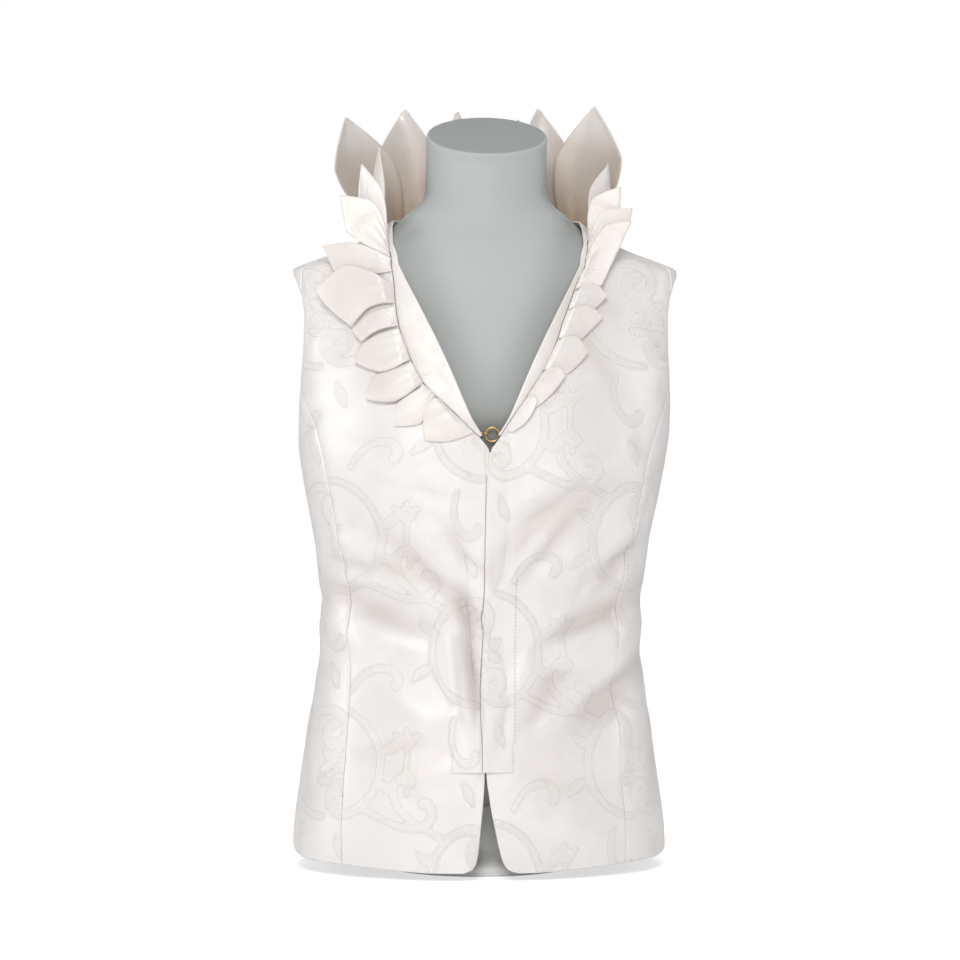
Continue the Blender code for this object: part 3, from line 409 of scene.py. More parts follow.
def edgeDistance(points):
    # shortest ways along a row and a column of the grid to each side of its rim
    across = np.linalg.norm(np.diff(points, axis=1), axis=-1)
    along = np.linalg.norm(np.diff(points, axis=0), axis=-1)
    across = np.concatenate([np.zeros((len(points), 1)), np.cumsum(across, axis=1)], axis=1)
    along = np.concatenate([np.zeros((1, points.shape[1])), np.cumsum(along, axis=0)], axis=0)
    return across, across[:, -1:] - across, along, along[-1:] - along


rimShare = 0.3  # how thick a wall of cloth is at its very edge


def clothWall(node, middle, normal, thick, finish, side, u, v, edge, roundness, extra):
    # a wall round the middle surface, thinned towards its rim by a quarter circle
    e = np.clip(edge / roundness, 0, 1)
    half = (thick / 2 * (rimShare + (1 - rimShare) * np.sqrt(1 - (1 - e) ** 2)))[..., None]
    quads = wallQuads(*u.shape)
    if side < 0:
        quads = quads[:, ::-1]
    values = {"figureGap": figureAt(u, v), **extra}
    values = {key: np.broadcast_to(value, (2,) + u.shape) for key, value in values.items()}
    points = np.stack([middle - normal * half, middle + normal * half]).reshape(-1, 3)
    cell = np.tile(np.stack([u, v], -1).reshape(-1, 2) / 1000, (2, 1))
    return addPiece(node + "_cloth", points, quads.tolist(), [finish], node, values, cell)


# ---- finishes
def fillInputs(tree, node, values):
    # a socket is linked, any other value becomes the input's own
    for key, value in dict(values).items():
        socket = node.inputs[key]
        if isinstance(value, bpy.types.NodeSocket):
            tree.links.new(value, socket)
        else:
            socket.default_value = value


def addNode(tree, kind, values=(), **settings):
    # settings go first, as they can change which inputs there are
    made = tree.nodes.new(kind)
    for key, value in settings.items():
        setattr(made, key, value)
    fillInputs(tree, made, values)
    return made


def maths(tree, operation, *values):
    return addNode(tree, "ShaderNodeMath", enumerate(values), operation=operation).outputs[0]


def product(tree, first, *others):
    # first times each of the others
    for other in others:
        first = maths(tree, "MULTIPLY", first, other)
    return first


def total(tree, first, *others):
    # first plus each of the others
    for other in others:
        first = maths(tree, "ADD", first, other)
    return first


def ramp(tree, value, low, high, toLow=0.0, toHigh=1.0, kind="SMOOTHSTEP"):
    # goes from toLow to toHigh as the value goes from low to high, and stays there outside them
    values = {0: value, 1: low, 2: high, 3: toLow, 4: toHigh}
    return addNode(tree, "ShaderNodeMapRange", values, interpolation_type=kind).outputs[0]


def mixColour(tree, share, first, second, blend="MIX"):
    # first * (1 - share) + share * second, or share of first times second
    values = {0: share, 6: first, 7: second}
    return addNode(tree, "ShaderNodeMix", values, data_type="RGBA", blend_type=blend).outputs[2]


def attributeOf(tree, name):
    return addNode(tree, "ShaderNodeAttribute", attribute_name=name).outputs["Fac"]


def noise(tree, place, scale, detail, **more):
    values = {"Vector": place, "Scale": scale, "Detail": detail, **more}
    return addNode(tree, "ShaderNodeTexNoise", values).outputs[0]


def lineAt(tree, value, at, solid, gone):
    # one where the value is within solid of the line, nothing where it is past gone
    away = maths(tree, "ABSOLUTE", maths(tree, "SUBTRACT", value, at))
    return ramp(tree, away, solid, gone, 1.0, 0.0)


def wavesAlong(tree, along, pitch):
    # sine of a way in metres, with a pitch in mm
    return maths(tree, "SINE", maths(tree, "MULTIPLY", along, 2000 * math.pi / pitch))


def greyCloud(tree, place, scale, low, high):
    # a soft grey between two tones
    tone = ramp(tree, noise(tree, place, scale, 2.0), 0.3, 0.7, low, high)
    return addNode(tree, "ShaderNodeCombineColor", {0: tone, 1: tone, 2: tone}).outputs[0]


def newFinish(name):
    made = bpy.data.materials.new(name)
    made.use_nodes = True
    tree = made.node_tree
    return made, tree, tree.nodes["Principled BSDF"]


clothFinish = {
    "ground": (0.90, 0.88, 0.866, 1),
    "figure": (0.875, 0.852, 0.835, 1),
    "thread": (1.0, 0.985, 0.965, 1),
    "inside": (0.55, 0.43, 0.32, 1),  # painted shade inside the collar: the warm dark the silk is painted towards near the seam
    "hollow": (0.965, 0.945, 0.93, 1),  # painted sheen: the darker peach cast painted in soft random patches where the satin's sheen is taken out
    "paintedFoldShade": (0.80, 0.765, 0.75, 1),  # painted shade: the darker silk in the troughs of the folds
    "gap": (0.70, 0.675, 0.655, 1),  # the dull line between the two beaded outlines
    "sewing": (0.56, 0.52, 0.48, 1),
    "stitch": (0.62, 0.58, 0.54, 1),
    "bodyTint": (0.985, 0.98, 0.98, 1),
    "petalTint": (0.95, 0.925, 0.91, 1),
    "bandTint": (0.92, 0.905, 0.895, 1),
    # how much of its colour a line lays over the silk
    "threadShare": 0.9,
    "gapShare": 0.55,
    "sewingShare": 0.5,
    "stitchShare": 0.35,
    "groundRough": 0.42,
    "figureRough": 0.55,
    "sheen": 0.15,
    "satin": 0.15,  # share of the light that the satin throws back like a metal
    # lines round the figure: mm out from its edge, half width, and where the line is gone
    "firstOutline": (0.0, 0.35, 0.95),
    "between": (1.15, 0.2, 0.7),
    "secondOutline": (2.0, 0.3, 0.8),
    "figureEdge": 0.35,  # mm to either side of the edge over which ground turns to figure
    "ribPitch": 2.4,
    "beadEdge": (-0.2, 0.5),  # from where to where in the crossed waves an outline turns to a bead
    "paintedSheenEdge": (0.62, 0.36),  # and in the soft noise the painted sheen patches turn the silk to their darker cast
    # a strip's stitches: mm apart, half width and where the thread is gone, and where in the wave a stitch is
    "stitchPitch": 2.6,
    "stitchLine": (0.3, 0.8),
    "stitchDash": (-0.2, 0.4),
    # heights in metres
    "figureRelief": 0.00016,
    "ribRelief": 0.00005,
    "beadRelief": 0.0002,
    "weaveRelief": 0.00005,
    "grainRelief": 0.0001,
    "creaseRelief": 0.0005,
    "stitchRelief": 0.0003,
}

# a line of sewing through the right front
closingStitch = {
    "line": (26.5, 0.3, 0.9),  # mm from the centre, half width, and where the thread is gone
    "pitch": 3.4,
    "dash": (-0.3, 0.3),
    "low": (0.120, 0.124),  # heights in metres that it comes and goes between
    "high": (0.292, 0.262),
}


def brocadeFinish(name, figureShare, stitchAt=None, crease=1.0, tint="bodyTint"):
    # satin ground, ribbed figure with beaded outlines, fine weave and soft unevenness, all in the bump
    c = clothFinish
    made, tree, shader = newFinish(name)
    uv = addNode(tree, "ShaderNodeUVMap", uv_map="cloth").outputs[0]
    place = addNode(tree, "ShaderNodeSeparateXYZ", {0: uv})
    x, y = place.outputs[0], place.outputs[1]
    gap = attributeOf(tree, "figureGap")
    inside = product(tree, ramp(tree, gap, c["figureEdge"], -c["figureEdge"]), figureShare)
    wave = wavesAlong(tree, maths(tree, "ADD", x, y), c["ribPitch"])
    counter = wavesAlong(tree, maths(tree, "SUBTRACT", x, y), c["ribPitch"])
    outlines = [lineAt(tree, gap, *c[key]) for key in ("firstOutline", "secondOutline")]
    bead = ramp(tree, product(tree, wave, counter), *c["beadEdge"])
    beads = product(tree, maths(tree, "MAXIMUM", *outlines), bead, figureShare)
    between = product(tree, lineAt(tree, gap, *c["between"]), figureShare * c["gapShare"])

    colour = mixColour(tree, inside, c["ground"], c["figure"])
    colour = mixColour(tree, 1.0, colour, c[tint], "MULTIPLY")
    colour = mixColour(tree, product(tree, beads, c["threadShare"]), colour, c["thread"])
    colour = mixColour(tree, between, colour, c["gap"])
    # painted sheen: soft random patches where the silk is painted a darker peach, as if its sheen were lost
    shade = ramp(tree, noise(tree, uv, 15.0, 3.0, Distortion=0.6), *c["paintedSheenEdge"])
    colour = mixColour(tree, shade, colour, c["hollow"], "MULTIPLY")

    warp = {"Vector": uv, "Scale": 330.0, "Distortion": 0.6}
    warp = addNode(tree, "ShaderNodeTexWave", warp, bands_direction="DIAGONAL").outputs["Fac"]
    height = total(
        tree,
        product(tree, inside, c["figureRelief"]),
        product(tree, wave, inside, c["ribRelief"]),
        product(tree, beads, c["beadRelief"]),
        product(tree, warp, c["weaveRelief"]),
        product(tree, noise(tree, uv, 420.0, 2.0), c["grainRelief"]),
        product(tree, noise(tree, uv, 38.0, 4.0, Roughness=0.55), c["creaseRelief"] * crease),
    )

    # the closing's line of sewing, then the stitches along a strip's edge
    dash = ramp(tree, wavesAlong(tree, y, closingStitch["pitch"]), *closingStitch["dash"])
    span = [ramp(tree, y, *closingStitch[key]) for key in ("low", "high")]
    line = lineAt(tree, attributeOf(tree, "closingLine"), *closingStitch["line"])
    sewn = [(product(tree, line, *span, dash), "sewing")]
    if stitchAt:
        dash = ramp(tree, wavesAlong(tree, y, c["stitchPitch"]), *c["stitchDash"])
        line = lineAt(tree, attributeOf(tree, "edgeGap"), stitchAt, *c["stitchLine"])
        sewn.append((product(tree, line, dash), "stitch"))
    for line, kind in sewn:
        colour = mixColour(tree, product(tree, line, c[kind + "Share"]), colour, c[kind])
        height = maths(tree, "SUBTRACT", height, product(tree, line, c["stitchRelief"]))

    # painted shade: darker silk in the troughs of the folds, and a warm dark on the standing petals inside the collar
    for key, tone in (("paintedFoldShadeShare", "paintedFoldShade"), ("paintedCollarShade", "inside")):
        colour = mixColour(tree, attributeOf(tree, key), colour, c[tone], "MULTIPLY")
    bump = addNode(tree, "ShaderNodeBump", {"Strength": 1.0, "Distance": 1.0, "Height": height})
    fillInputs(tree, shader, {
        "Base Color": colour,
        "Roughness": ramp(tree, inside, 0.0, 1.0, c["groundRough"], c["figureRough"], "LINEAR"),
        "Normal": bump.outputs[0],
        "Metallic": c["satin"],
        "Specular IOR Level": 0.5,
        "Sheen Weight": c["sheen"],
        "Sheen Roughness": 0.4,
        "Sheen Tint": (1.0, 0.97, 0.94, 1),
    })
    return made


bodySilk = brocadeFinish("ivoryBrocade", 1.0)
petalSilk = brocadeFinish("petalSilk", 0.45, crease=0.7, tint="petalTint")
bandSilk = brocadeFinish("bandSilk", 0.35, crease=0.8, tint="bandTint")
stripSilk = brocadeFinish("stripSilk", 1.0, stitchAt=2.6)

formFinish = {
    "paint": (0.475, 0.505, 0.50, 1),
    # the cap is painted greyer than the body, with less green, and darker still as painted shade for its top, which
    # faces up and away from the light
    "cap": (0.355, 0.385, 0.38, 1),
    "foot": (0.86, 0.86, 0.85, 1),
    "near": (0.17, 0.165, 0.15, 1),  # the shade close to the neckline
    "low": (0.9, 0.9, 0.89, 1),  # white like the foot, below the height that the split shows
    "lowTo": 0.14,
    "rough": 0.6,
    "capRough": 0.5,
    "footRough": 0.45,
}


def paintFinish(name, colour, rough):
    # smooth moulded skin with a faint cloud in its tone and a fine orange-peel bump
    made, tree, shader = newFinish(name)
    place = addNode(tree, "ShaderNodeTexCoord").outputs["Object"]
    peel = noise(tree, place, 900.0, 2.0)
    colour = mixColour(tree, 1.0, colour, greyCloud(tree, place, 7.0, 0.96, 1.0), "MULTIPLY")
    height = addNode(tree, "ShaderNodeSeparateXYZ", {0: place}).outputs[2]
    low = ramp(tree, height, formFinish["lowTo"], formFinish["lowTo"] - 0.002)
    colour = mixColour(tree, low, colour, formFinish["low"])
    bump = addNode(tree, "ShaderNodeBump", {"Strength": 0.25, "Distance": 0.0002, "Height": peel})
    fillInputs(tree, shader, {
        "Base Color": mixColour(tree, attributeOf(tree, "neckShade"), colour, formFinish["near"]),
        "Roughness": ramp(tree, peel, 0.2, 0.8, rough - 0.04, rough + 0.05),
        "Normal": bump.outputs[0],
    })
    return made


formSkin = paintFinish("formSkin", formFinish["paint"], formFinish["rough"])
capPaintAndShade = paintFinish("capPaintAndShade", formFinish["cap"], formFinish["capRough"])
footSkin = paintFinish("footSkin", formFinish["foot"], formFinish["footRough"])

giltTones = {"light": (0.78, 0.52, 0.22, 1), "dark": (0.62, 0.38, 0.14, 1)}


def giltFinish(name):
    # worn gilding: a slightly mottled tone and roughness
    made, tree, shader = newFinish(name)
    spot = noise(tree, addNode(tree, "ShaderNodeTexCoord").outputs["Object"], 500.0, 3.0)
    fillInputs(tree, shader, {
        "Base Color": mixColour(tree, spot, giltTones["light"], giltTones["dark"]),
        "Roughness": ramp(tree, spot, 0.3, 0.7, 0.2, 0.38),
        "Metallic": 1.0,
    })
    return made


gilt = giltFinish("wornGilt")
print("finishes made")


# ---- the cut of the garment, as (degrees or distance, height)
cut = {
    "seamGap": 0.4,
    "gapDrop": 0.8,  # how far below the petal seam the panels start, in seam gaps
    "cloth": 2.0,
    "finer": 7,  # fine steps for each step of the plain solids
    "rimSteps": (0.16, 0.45),  # places of the two points more at an edge, in fine steps
    "seamSteps": 26,
    "closingSteps": 18,
    "neckSteps": 13,
    "napeSteps": 10,
    "frontAcross": 11,
    "sideAcross": 5,
    "vBottom": 386.0,
    "splitTop": 96.0,
    "corner": 11.0,
    "cornerShares": (0, 0.3, 1),
    "splitSteps": 3,
    "swing": {"left": 9.0, "right": 17.0},  # how far each front swings away from the split at the hem
    "swingBend": 1.4,
    # distances from the upright axis that turn half a gap into an angle, and the height of the centre seam's one
    "shoulderRadius": 105.0,
    "napeRadius": 75.0,
    "centreHeight": 550.0,
    "princess": (
        (55.5, 12), (57.5, 85), (60.5, 165), (63.5, 225), (64.5, 300), (64.8, 363), (68.5, 407), (78, 446),
    ),
    "frontArmhole": ((78, 446), (76.5, 480), (76.5, 510), (78.5, 533)),
    "underarmFront": ((78, 446), (80.5, 418), (86, 396), (93, 388)),
    "underarmBack": ((93, 388), (100, 395), (107, 414), (111, 442)),
    "backArmhole": ((111, 442), (113, 480), (110, 515), (102, 545), (91, 558), (83, 549), (78.5, 533)),
    "backPrincess": ((119, 21), (117, 85), (114, 165), (113, 235), (113, 300), (113, 363), (111, 442)),
    "sideSeam": ((93, 27), (93, 120), (93, 235), (93, 320), (93, 388)),
    "neckEdge": (
        (7, 401.5), (16, 416), (25, 436), (36, 462), (50, 492), (65, 522), (78, 547), (84, 566), (88, 588),
    ),
    "neckFoot": ((0.7, 386.0), (5.5, 394.5)),
    "petalSeam": {
        "left": (
            (9.2, 399.5), (16, 405), (27, 416.5), (46, 434), (59, 447), (71, 469), (82, 499), (85.5, 520),
            (87, 540), (89.5, 562), (92.5, 583),
        ),
        "right": (
            (9.2, 401), (15.5, 411), (24, 423), (32.5, 436), (52, 466.5), (59.5, 484), (65, 502), (70.5, 516),
            (76.5, 532), (84, 549), (89, 566), (92.5, 583),
        ),
    },
    "neckEdgeBack": ((80, 603), (100, 606.5), (125, 608), (152, 608.5), (180, 609)),
    "petalSeamBack": ((80, 593), (100, 596), (125, 598.5), (152, 599.5), (180, 600)),
    "frontHem": ((6, 7), (20, 7), (40, 9.5), (55.5, 12)),
    "sideFrontHem": ((55.5, 12), (70, 12.5), (82, 16.5), (89, 22), (93, 27)),
    "sideBackHem": ((93, 27), (98, 23.5), (106, 21), (119, 21)),
    "backHem": ((119, 21), (150, 21), (180, 21)),
}


def shifted(line, distance):
    # round by the distance over the half width at each height
    moved = line.copy()
    moved[:, 0] += distance / ringValues("coat", line[:, 1])[0]
    return moved


def roundLine(frontKnots, backKnots):
    # up the front by distance, over one step, then round the back by degrees
    front = onFront(frontKnots)
    back = np.concatenate([front[-1:], inDegrees(backKnots)])
    return joined(seamRun(front, cut["neckSteps"]), seamRun(back[:2], 1), seamRun(back[1:], cut["napeSteps"]))


def neckEdgeLine():
    return roundLine(cut["neckEdge"], cut["neckEdgeBack"])


def petalSeamLine(name):
    return roundLine(cut["petalSeam"][name], cut["petalSeamBack"])


def outside(line):
    # the far side of the petal seam, a gap further out and a little lower
    moved = shifted(line, cut["seamGap"])
    moved[:, 1] -= cut["seamGap"] * cut["gapDrop"]
    return moved


def fineShares(count):
    # shares of an edge, with a few more close to both of its ends for the turned rim
    n = count * cut["finer"]
    near = np.array(cut["rimSteps"]) / n
    return np.sort(np.concatenate([np.arange(n + 1) / n, near, 1 - near]))


def finerLine(line, shares):
    # smooth curve through the line's points, at shares of their number
    at = shares * (len(line) - 1)
    return np.stack([smoothCurve(at, np.arange(len(line)), line[:, k]) for k in (0, 1)], -1)


def finePatch(left, right, bottom, top):
    # Coons patch: the two blends of opposite edges less the blend of the four corners
    along, across = fineShares(len(left) - 1), fineShares(len(bottom) - 1)
    left, right = finerLine(left, along)[:, None], finerLine(right, along)[:, None]
    bottom, top = finerLine(bottom, across)[None], finerLine(top, across)[None]
    a, b = across[None, :, None], along[:, None, None]
    corners = (1 - b) * ((1 - a) * bottom[:, :1] + a * bottom[:, -1:]) + b * ((1 - a) * top[:, :1] + a * top[:, -1:])
    return (1 - a) * left + a * right + (1 - b) * bottom + b * top - corners


def shoulderPatch(left, right, hem, way):
    # a patch whose top is the shoulder seam, half a gap below its line and half a gap away from the armhole's end
    half = cut["seamGap"] / 2
    left[-1, 1] -= half
    right[-1, 1] -= half
    hem = inDegrees(hem)
    hem[0], hem[-1] = left[0], right[0]
    shoulder = np.stack([left[-1], right[-1]]) + np.array([way * half / cut["shoulderRadius"], 0])
    left[-1], right[-1] = shoulder
    return finePatch(left, right, seamRun(hem, cut["frontAcross"]), seamRun(shoulder, cut["frontAcross"]))


def frontGrid(name):
    # from the closing, the foot of the V and the petal seam to the princess seam and the armhole
    low = cut["frontHem"][0][1]
    rows = low + cut["corner"] * np.array(cut["cornerShares"])
    split = np.linspace(low + cut["corner"], cut["splitTop"], cut["splitSteps"] + 1)[1:]
    closing = np.linspace(cut["splitTop"], cut["vBottom"], cut["closingSteps"] + 1)[1:]
    height = np.concatenate([rows, split, closing])
    fall = np.clip((cut["splitTop"] - height) / (cut["splitTop"] - low), 0, 1)
    corner = np.clip((cut["corner"] + low - height) / cut["corner"], 0, 1)
    swing = cut["swing"][name] * fall ** cut["swingBend"]
    x = cut["neckFoot"][0][0] + swing + cut["corner"] * (1 - np.sqrt(1 - corner**2))
    edge = np.stack([angleOf(x, height), height], -1)
    seam = outside(petalSeamLine(name)[: cut["neckSteps"] + 2])
    left = joined(edge, np.concatenate([edge[-1:], onFront(cut["neckFoot"][1:]), seam]))
    princess = seamRun(inDegrees(cut["princess"]), cut["seamSteps"])
    armhole = seamRun(inDegrees(cut["frontArmhole"]), len(left) - 1 - cut["seamSteps"])
    return shoulderPatch(left, shifted(joined(princess, armhole), -cut["seamGap"] / 2), cut["frontHem"], -1)


def sideGrid(leftKnots, rightKnots, hem, top):
    # from seam to seam, half a gap inside either
    left = shifted(seamRun(inDegrees(leftKnots), cut["seamSteps"]), cut["seamGap"] / 2)
    right = shifted(seamRun(inDegrees(rightKnots), cut["seamSteps"]), -cut["seamGap"] / 2)
    hem, top = inDegrees(hem), inDegrees(top)
    hem[0], hem[-1], top[0], top[-1] = left[0], right[0], left[-1], right[-1]
    return finePatch(left, right, seamRun(hem, cut["sideAcross"]), seamRun(top, cut["sideAcross"]))


def backGrid(name):
    # from the back princess seam and the armhole to the centre seam and the nape
    princess = seamRun(inDegrees(cut["backPrincess"]), cut["seamSteps"])
    armhole = seamRun(inDegrees(cut["backArmhole"]), cut["napeSteps"])
    left = shifted(joined(princess, armhole), cut["seamGap"] / 2)
    centre = math.pi - cut["seamGap"] / 2 / ringValues("coat", cut["centreHeight"])[2]
    neck = outside(petalSeamLine(name)[cut["neckSteps"] + 1 :])[::-1]
    neck[0, 0] = centre
    heights = np.linspace(cut["backHem"][-1][1], neck[0, 1], cut["seamSteps"] + 1)
    right = joined(np.stack([np.full(len(heights), centre), heights], -1), neck)
    return shoulderPatch(left, right, cut["backHem"], 1)


def bandGrid(name):
    # straight across from the neckline's edge to the petal seam
    lines = neckEdgeLine(), petalSeamLine(name)
    for line in lines:
        line[-1, 0] -= cut["seamGap"] / 2 / cut["napeRadius"]
    along = fineShares(len(lines[0]) - 1)
    edge, seam = (finerLine(line, along)[:, None] for line in lines)
    a = fineShares(2)[None, :, None]
    return (1 - a) * edge + a * seam


panelLook = {
    "dip": 0.42,  # how far the cloth sinks into a seam
    "dipWidth": 3.2,
    "pucker": 0.12,
    "puckerWidth": 7.0,
    "puckerLength": 11.0,
    "sway": (1.7, 23.0),  # the puckers' places shift by so many radians, over so long a run
    "fade": (0.4, 31.0, 2.0),  # and their depth by such a share, over so long a run, from this phase
    "roundness": 1.1,
}


def layPanel(node, side, grid, finish, seamEdges, originAngle, pull):
    # the coat's surface over the panel's own grid, sunk and puckered at its sewn edges
    look = panelLook
    angle, height = grid[..., 0] * side, grid[..., 1]
    surface, normal = coatSurface(angle, height), coatNormal(angle, height)
    ways = edgeDistance(surface)
    sewn = np.minimum.reduce([ways[k] for k in seamEdges])
    run = np.where(np.minimum(ways[0], ways[1]) < np.minimum(ways[2], ways[3]), ways[2], ways[0])
    (sway, swayRun), (share, fadeRun, phase) = look["sway"], look["fade"]
    waves = np.sin(2 * math.pi * run / look["puckerLength"] + sway * np.sin(run / swayRun))
    waves = waves * (1 - share + share * np.sin(run / fadeRun + phase))
    swell = -look["dip"] * np.exp(-((sewn / look["dipWidth"]) ** 2))
    swell = swell + look["pucker"] * waves * np.exp(-sewn / look["puckerWidth"])
    middle = surface + normal * (cut["cloth"] / 2 + pull * swell)[..., None]
    halfWidth, front, back = ringValues("coat", height)[:3]
    radius = (halfWidth + np.where(np.abs(angle) < math.pi / 2, front, back)) / 2
    centre = math.radians(originAngle) * side
    u = (angle - centre) * radius + centre * bodyShape["reach"]
    # share of painted shade in the troughs of the folds
    extra = {"paintedFoldShadeShare": paintedFoldShadeShare(angle, height)}
    if node == "front_right":
        extra["closingLine"] = surface[..., 0]
    edge = np.minimum.reduce(ways)
    return clothWall(
        node, middle, normal, cut["cloth"], finish, side, u, height, edge, look["roundness"], extra
    )


def panelTable(name):
    # grid, silk, sewn edges, angle that the figure is laid out from, share of the seam's dip and puckers
    sideFront = sideGrid(cut["princess"], cut["sideSeam"], cut["sideFrontHem"], cut["underarmFront"])
    sideBack = sideGrid(cut["sideSeam"], cut["backPrincess"], cut["sideBackHem"], cut["underarmBack"])
    return {
        "front": (frontGrid(name), bodySilk, (1,), 0, 1.0),
        "side_front": (sideFront, bodySilk, (0, 1), 75, 1.0),
        "side_back": (sideBack, bodySilk, (0, 1), 105, 1.0),
        "back": (backGrid(name), bodySilk, (0, 1), 150, 1.0),
        "neck_band": (bandGrid(name), bandSilk, (1,), 40, 0.6),
    }


print("laying the panels")
for name, side in sides.items():
    for part, row in panelTable(name).items():
        layPanel(f"{part}_{name}", side, *row)


# ---- strips of the hidden closing
closing = {
    "inner": {"left": 3.2, "right": -2.8},
    "outer": {"left": 32.0, "right": 27.0},
    "across": 44,
    "along": 150,
    "thick": 1.1,
    "thin": (0.6, 0.8),  # a sunk strip is such a share of its height above the coat, which counts as at least so much
    "fold": 1.5,  # how far the folded edge stands off the front
    "flush": 0.12,  # how far the sewn edge does
    "sewnWidth": 26.0,  # the way over which the strip leaves the front, across and up
    "sewnHeight": 40.0,
    "sink": 0.5,  # how far the sewn edge sinks into the front above the height that it shows up to
    "shownTo": 118.0,
    "sinkHeight": 20.0,
    "roundness": 0.6,
}


def layStrip(name, side):
    # the front's own surface between two distances from the centre, moved out clear of the cloth
    d = closing
    height = np.linspace(cut["splitTop"], cut["vBottom"], d["along"] + 1)
    x = np.linspace(d["inner"][name], d["outer"][name], d["across"] + 1)
    x, height = np.meshgrid(x, height)
    angle = np.sign(x) * angleOf(np.abs(x), height) * side
    surface, normal = coatSurface(angle, height), coatNormal(angle, height)
    ways = edgeDistance(surface)
    free = np.clip(np.minimum(ways[1] / d["sewnWidth"], ways[3] / d["sewnHeight"]), 0, 1)
    sunk = np.clip((height - d["shownTo"]) / d["sinkHeight"], 0, 1)
    flush = d["flush"] * (1 - sunk) - d["sink"] * sunk
    outer = flush + (d["fold"] + d["thick"] - flush) * free**2
    least, share = d["thin"]
    thick = np.minimum(d["thick"], np.maximum(outer, least) * share)
    middle = surface + normal * (cut["cloth"] + outer - thick / 2)[..., None]
    halfWidth, front = ringValues("coat", height)[:2]
    u, edge = angle * (halfWidth + front) / 2, np.minimum.reduce(ways)
    # share of painted shade in the troughs of the folds
    extra = {"edgeGap": ways[1], "paintedFoldShadeShare": paintedFoldShadeShare(angle, height)}
    node = f"closing_strip_{name}"
    return clothWall(node, middle, normal, thick, stripSilk, side, u, height, edge, d["roundness"], extra)


strips = {name: layStrip(name, side) for name, side in sides.items()}
print("closing strips laid")


